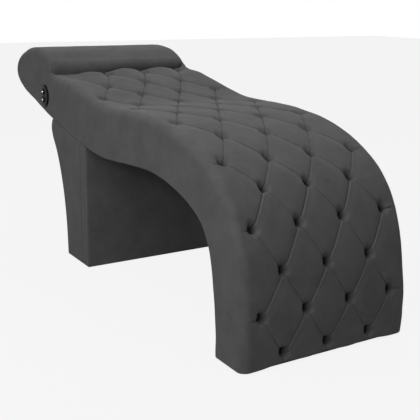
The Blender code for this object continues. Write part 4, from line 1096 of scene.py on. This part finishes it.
# how far out from the side, which line, how far off it, and the distances along it
STITCHED_LINES = (
    (-0.0095, BACK, 0.0006, np.linspace(STITCHES_FROM, 0.505, 60)),
    (0.0002, UNDER, -0.0085, np.linspace(0.030, UNDER_END, 320)),
)


def make_seam_stitches():
    sizes = {"Pitch": 0.0050, "Stitch length": 0.0038, "Thread width": 0.0009}
    tree, nodes, given = shape_tree("Seam stitches", sizes)
    spots, turned = laid_along(nodes, given["Geometry"], given["Pitch"])
    width = given["Thread width"]
    set_on(nodes, spots, turned, oval(nodes, 6, 5, given["Stitch length"], width, width), THREAD)
    lines = []
    for side in (-1, 1):
        face = side * (HALF_WIDTH + STITCHED_LINES[1][0])
        for row in (FRONT_WRAP - SEAM_APART, FRONT_WRAP + SEAM_APART):
            heights = np.linspace(STITCHES_FROM, FRONT_TOP - 0.010, 60)
            lines.append([(face, PEDESTAL_FRONT + row, z) for z in heights])
        for out, line, lift, stops in STITCHED_LINES:
            x = side * (HALF_WIDTH + out)
            lines.append([(x, *line.at(np.array(stop), lift)) for stop in stops])
    return grown("seam_stitches", guide_lines("stitch_lines", lines), tree, sizes)


def tube(points, radius, sides):
    """Points and faces of a closed round bar along a line of points that lie in the XZ plane."""
    points = np.array(points, float)
    runs = np.gradient(points, axis=0)
    runs /= np.linalg.norm(runs, axis=1)[:, None]
    across = np.array((0.0, 1.0, 0.0))
    found, faces = [], []
    for k, (point, run) in enumerate(zip(points, runs)):
        up = np.cross(run, across)
        for angle in np.arange(sides) * 2 * math.pi / sides:
            found.append(point + radius * (math.cos(angle) * across + math.sin(angle) * up))
        if k:
            a, b = (k - 1) * sides, k * sides
            faces += [(a + i, a + (i + 1) % sides, b + (i + 1) % sides, b + i) for i in range(sides)]
    faces.append(tuple(range(sides))[::-1])
    faces.append(tuple(range(len(found) - sides, len(found))))
    return found, faces


STAPLE_INSET, STAPLE_LEVEL, CORNER_CLEAR = 0.007, 0.0023, 0.022
SPACING = 0.045
CLOTH_LEVEL, CLOTH_THICK, CLOTH_WAVE = 0.0034, 0.0006, 0.0002
HEM_FOLD, HEM_EDGE = 0.0005, (0.011, 0.014)
PUCKER, PUCKER_REACH = 0.00035, 0.030


def make_staples():
    width, drop = 0.0055, 0.0030
    path = [(-width, 0, drop), (-width, 0, 0.0008)]
    path += [(-width + 0.0006, 0, 0.0001), (-width + 0.0014, 0, 0)]
    path += [(-x, y, z) for x, y, z in path[::-1]]
    bar = linked("staple", outward_mesh(mesh_of("staple", *tube(path, 0.0005, 6), sharp=60)))
    sizes = {"Spacing": SPACING, "Staple": bar}
    tree, nodes, given = shape_tree("Staples", sizes)
    spots, turned = laid_along(nodes, given["Geometry"], given["Spacing"])
    shape = nodes.add("GeometryNodeObjectInfo", {"Object": given["Staple"]}, "Geometry")
    set_on(nodes, spots, turned, shape, FINISHES["zinc_steel"])
    lines = []
    for half, front, back in DUST_CLOTHS.values():
        half, front, back = half - STAPLE_INSET, front + STAPLE_INSET, back - STAPLE_INSET
        for y in (front, back):
            lines.append([(x, y, STAPLE_LEVEL) for x in np.linspace(-half, half, 3)])
        for x in (-half, half):
            stops = np.linspace(front + CORNER_CLEAR, back - CORNER_CLEAR, 3)
            lines.append([(x, y, STAPLE_LEVEL) for y in stops])
    made = grown("staples", guide_lines("staple_lines", lines), tree, sizes)
    bpy.data.objects.remove(bar)
    return made


def make_dust_cloth(name, half, front, back):
    """Non-woven cloth stretched under a base, its hem folded in, puckered a little at each staple."""
    x, y = np.meshgrid(np.linspace(-half, half, 100), np.linspace(front, back, 24))
    edge = np.minimum(half - np.abs(x), np.minimum(y - front, back - y))
    hem = HEM_FOLD * (1 - eased(edge, *HEM_EDGE))
    pucker = PUCKER * (1 - eased(edge, 0.0, PUCKER_REACH)) * np.cos(2 * math.pi * x / SPACING)
    z = CLOTH_LEVEL - hem + CLOTH_WAVE * np.sin(9 * x + 3) * np.sin(31 * y) + pucker
    low = np.stack((x, y, z), axis=2)
    high = low + np.array((0, 0, CLOTH_THICK))
    return closed_shell(name, low, high, FINISHES["dust_cloth"], flipped=True)


for piece, nodes_stood_for in (
    (mattress_cover, ("tufted_pad", "side_pad_left", "side_pad_right")),
    (headrest_cover, ("headrest_roll",)),
    (pedestal_front, ("pedestal_front_cover",)),
    (pedestal_sides[0], ("pedestal_side_cover_left",)),
    (pedestal_sides[1], ("pedestal_side_cover_right",)),
    (pedestal_back, ("pedestal_back_cover",)),
):
    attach(piece, "bed")
    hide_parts(*nodes_stood_for)

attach(underside_cover, "bed")
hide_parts("under_cover")

DUST_CLOTHS = {
    "foot_dust_cloth": (0.2857, -0.8547, -0.7644),
    "pedestal_dust_cloth": (0.2857, 0.1690, 0.3540),
}
for name, node, board in (
    ("foot_dust_cloth", "foot_dust_cover", "foot_base_board"),
    ("pedestal_dust_cloth", "pedestal_dust_cover", "pedestal_base_rail_front"),
):
    half, front, back = DUST_CLOTHS[name]
    cloth = make_dust_cloth(name, half, front, back)
    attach(cloth, "bed")
    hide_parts(node)

for piece, slot in (
    (make_tuft_buttons(), "suede_fabric"), (make_seam_stitches(), "suede_fabric"),
    (make_staples(), "zinc_steel"),
):
    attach(piece, "bed")


# Massage control

PLATE_PROUD = 0.0030
PLATE_ROUND = 0.0024
BUTTON_HOLE = 0.0129
BUTTON_PROUD = 0.0058
BUTTON_REACH = 0.0124
DOME_RISE = 0.0062
BUTTON_CHAMFER = 0.0006, 0.0008
CAP_REACH, CAP_RISE, CAP_ROOT = 0.0039, 0.0022, -0.0015
CAP_PROUD = 0.0004
COLLAR_GAP, COLLAR_ROUND, COLLAR_ROOT = 0.0012, 0.0008, -0.0012
GLOSSY = FINISHES["black_plastic"]


def lathed(name, profile, centre, material=GLOSSY, steps=48, ring=False):
    """A turned piece: profile gives (radius, height) pairs, and heights stand out towards -X."""
    points, rings = [], []
    for radius, height in profile:
        if radius == 0:
            rings.append([len(points)] * steps)
            points.append((centre[0] - height, centre[1], centre[2]))
            continue
        rings.append(list(range(len(points), len(points) + steps)))
        points += [(centre[0] - height, *spot) for spot in circle(centre[1:], radius, radius, steps)]
    if ring:
        rings.append(rings[0])
    faces = []
    for face in grid_faces([[*numbers, numbers[0]] for numbers in rings]):
        faces.append(tuple(dict.fromkeys(face)))
    return linked(name, outward_mesh(mesh_of(name, points, faces, material, sharp=40)))


def circle(middle, wide, high, steps):
    """Points round an upright oval."""
    angles = np.arange(steps) * 2 * math.pi / steps
    return [(middle[0] + wide * math.cos(a), middle[1] + high * math.sin(a)) for a in angles]


def make_plate(low, high, holes):
    """The oval plate, with a round hole for each button."""
    outline = bpy.data.curves.new("plate_outline", "CURVE")
    outline.dimensions, outline.fill_mode = "2D", "BOTH"
    outline.bevel_depth, outline.bevel_resolution = PLATE_ROUND, 4
    face = low.x - PLATE_PROUD
    thick = high.x - face
    outline.extrude = thick / 2 - PLATE_ROUND
    middle = (high.y + low.y) / 2, (high.z + low.z) / 2
    half_y, half_z = (high.y - low.y) / 2, (high.z - low.z) / 2
    rims = [circle(middle, half_y - PLATE_ROUND, half_z - PLATE_ROUND, 96)]
    reach = BUTTON_HOLE + PLATE_ROUND
    rims += [circle(hole, reach, reach, 64) for hole in holes]
    for rim in rims:
        spline = outline.splines.new("POLY")
        spline.points.add(len(rim) - 1)
        for point, spot in zip(spline.points, rim):
            point.co = (*spot, 0, 1)
        spline.use_cyclic_u = True
    mesh = plain_mesh(linked("plate_outline", outline))
    with edited(mesh) as bm:
        for vert in bm.verts:
            y, z, out = vert.co
            vert.co = (face + thick / 2 - out, y, z)
        bmesh.ops.remove_doubles(bm, verts=bm.verts, dist=0.00001)
        bmesh.ops.recalc_face_normals(bm, faces=bm.faces)
    mesh.materials.clear()
    mesh.materials.append(GLOSSY)
    shaded(mesh, 40)
    mesh.name = "control_bezel"
    return linked("control_bezel", mesh)


def make_control():
    """The oval plate with its two button holes, a raised collar round each, and two domed buttons."""
    low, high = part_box("control_plate")
    face = low.x - PLATE_PROUD
    centres = []
    for node in ("button_upper", "button_lower"):
        a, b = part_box(node)
        centres.append(((a.y + b.y) / 2, (a.z + b.z) / 2, a.x, b.x))
    made = [(make_plate(low, high, [centre[:2] for centre in centres]), "bed", "control_plate")]
    for word, (y, z, front, back) in zip(("upper", "lower"), centres):
        collar = [
            (BUTTON_HOLE + COLLAR_GAP + COLLAR_ROUND * math.cos(a), COLLAR_ROUND * math.sin(a))
            for a in np.radians(np.linspace(0, 180, 9))
        ]
        collar += [(BUTTON_HOLE + 0.0004, COLLAR_ROOT), (BUTTON_HOLE + 0.0020, COLLAR_ROOT)]
        made.append((lathed("control_collar_" + word, collar, (face, y, z), ring=True), "bed", None))
        dome = [(0.0, 0.0)]
        for a in quarter(13)[1:]:
            dome.append((BUTTON_REACH * math.sin(a), DOME_RISE * (math.cos(a) - 1)))
        depth = back - front + BUTTON_PROUD
        drawn, up = BUTTON_CHAMFER
        dome += [(BUTTON_REACH, -depth + up), (BUTTON_REACH - drawn, -depth), (0.0, -depth)]
        place = (front - BUTTON_PROUD, y, z)
        button = lathed("push_button_" + word, dome, place)
        made.append((button, word + "_button", "button_" + word))
        cap = [(0.0, CAP_RISE)]
        cap += [(CAP_REACH * math.sin(a), CAP_RISE * math.cos(a)) for a in np.linspace(0.2, 1.5, 7)]
        cap += [(CAP_REACH, CAP_ROOT), (0.0, CAP_ROOT)]
        cap = lathed("button_cap_" + word, cap, (place[0] + CAP_PROUD, y, z), POLISHED, steps=32)
        made.append((cap, word + "_button", None))
    return made


for piece, body, node in make_control():
    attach(piece, body)
    if node:
        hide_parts(node)


# The carried-over parts of the frame and the fittings

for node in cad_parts.values():
    for slot in node.material_slots:
        if slot.material and slot.material.name.split(".")[0] in FINISHES:
            slot.material = FINISHES[slot.material.name.split(".")[0]]


# Studio

# The camera as solved from the photograph: its turns in degrees, lens and sensor in mm, and place
CAMERA_TURNS = 31.8197, 14.8947, 0.778
CAMERA_LENS = 69.6, 36
CAMERA_PLACE = -1.46066, -2.58697, 1.01933
# Each lamp's name, side, power and place
LAMPS = (
    ("key", 1.6, 31.0, (-1.7, -1.4, 3.4)), ("side", 1.4, 23.5, (-2.4, -0.7, 2.4)),
    ("front", 0.4, 12.8, (-1.9, -2.3, 1.35)), ("top", 1.8, 9.0, (0.2, -0.3, 3.4)),
    ("back", 1.6, 26.0, (1.5, 1.3, 3.2)),
)
LIT_SPOT = 0, -0.1, 0.4
WHITE = 1, 1, 1, 1
FLOOR_COLOR, FLOOR_SIDE, FLOOR_WHITE = (0.37, 0.37, 0.37), 14.0, 0.88
ROOM_LIGHT = 0.12


def make_camera():
    yaw, pitch, roll = map(math.radians, CAMERA_TURNS)
    ahead = Vector((math.sin(yaw) * math.cos(pitch), math.cos(yaw) * math.cos(pitch), -math.sin(pitch)))
    right = Vector((math.cos(yaw), -math.sin(yaw), 0))
    up = right.cross(ahead)
    turned_right = right * math.cos(roll) + up * math.sin(roll)
    turned_up = up * math.cos(roll) - right * math.sin(roll)
    lens = bpy.data.cameras.new("camera")
    lens.lens, lens.sensor_width = CAMERA_LENS
    camera = linked("camera", lens)
    matrix = Matrix((turned_right, turned_up, -ahead)).transposed().to_4x4()
    matrix.translation = Vector(CAMERA_PLACE)
    camera.matrix_world = matrix
    bpy.context.scene.camera = camera


def shown_white(nodes, output, shader, white, share=1.0):
    """Ends a tree in a shader that turns white for rays that show the backdrop to the eye."""
    path = nodes.outputs(nodes.add("ShaderNodeLightPath"))
    seen = nodes.math("MAXIMUM", path["Is Camera Ray"], path["Is Glossy Ray"])
    seen = nodes.math("MAXIMUM", seen, path["Is Transmission Ray"])
    white = nodes.add(white, {"Color": WHITE, "Strength": 1.0})
    mixed = nodes.add("ShaderNodeMixShader", {0: seen * share, 1: shader, 2: white})
    nodes.put(nodes.tree.nodes[output].inputs["Surface"], mixed)


def make_studio():
    side = FLOOR_SIDE
    floor = Finish("studio_floor", FLOOR_COLOR, 0.9)
    plain = floor.shader.outputs[0]
    shown_white(floor, "Material Output", plain, "ShaderNodeEmission", FLOOR_WHITE)
    corners = [(-side, -side, 0), (side, -side, 0), (side, side, 0), (-side, side, 0)]
    linked("studio_floor", mesh_of("studio_floor", corners, [(0, 1, 2, 3)], floor.material))

    world = bpy.data.worlds.new("studio")
    bpy.context.scene.world = world
    world.use_nodes = True
    nodes = Nodes(world.node_tree)
    room = nodes.add("ShaderNodeBackground", {"Color": WHITE, "Strength": ROOM_LIGHT})
    shown_white(nodes, "World Output", room, "ShaderNodeBackground")
    for name, size, energy, place in LAMPS:
        light = bpy.data.lights.new(name, "AREA")
        light.shape, light.size, light.energy = "SQUARE", size, energy
        lamp = linked(name, light)
        lamp.location = place
        lamp.rotation_mode = "QUATERNION"
        towards = Vector(LIT_SPOT) - lamp.location
        lamp.rotation_quaternion = towards.to_track_quat("-Z", "Y")


make_camera()
make_studio()
bpy.context.scene.view_settings.view_transform = "Standard"
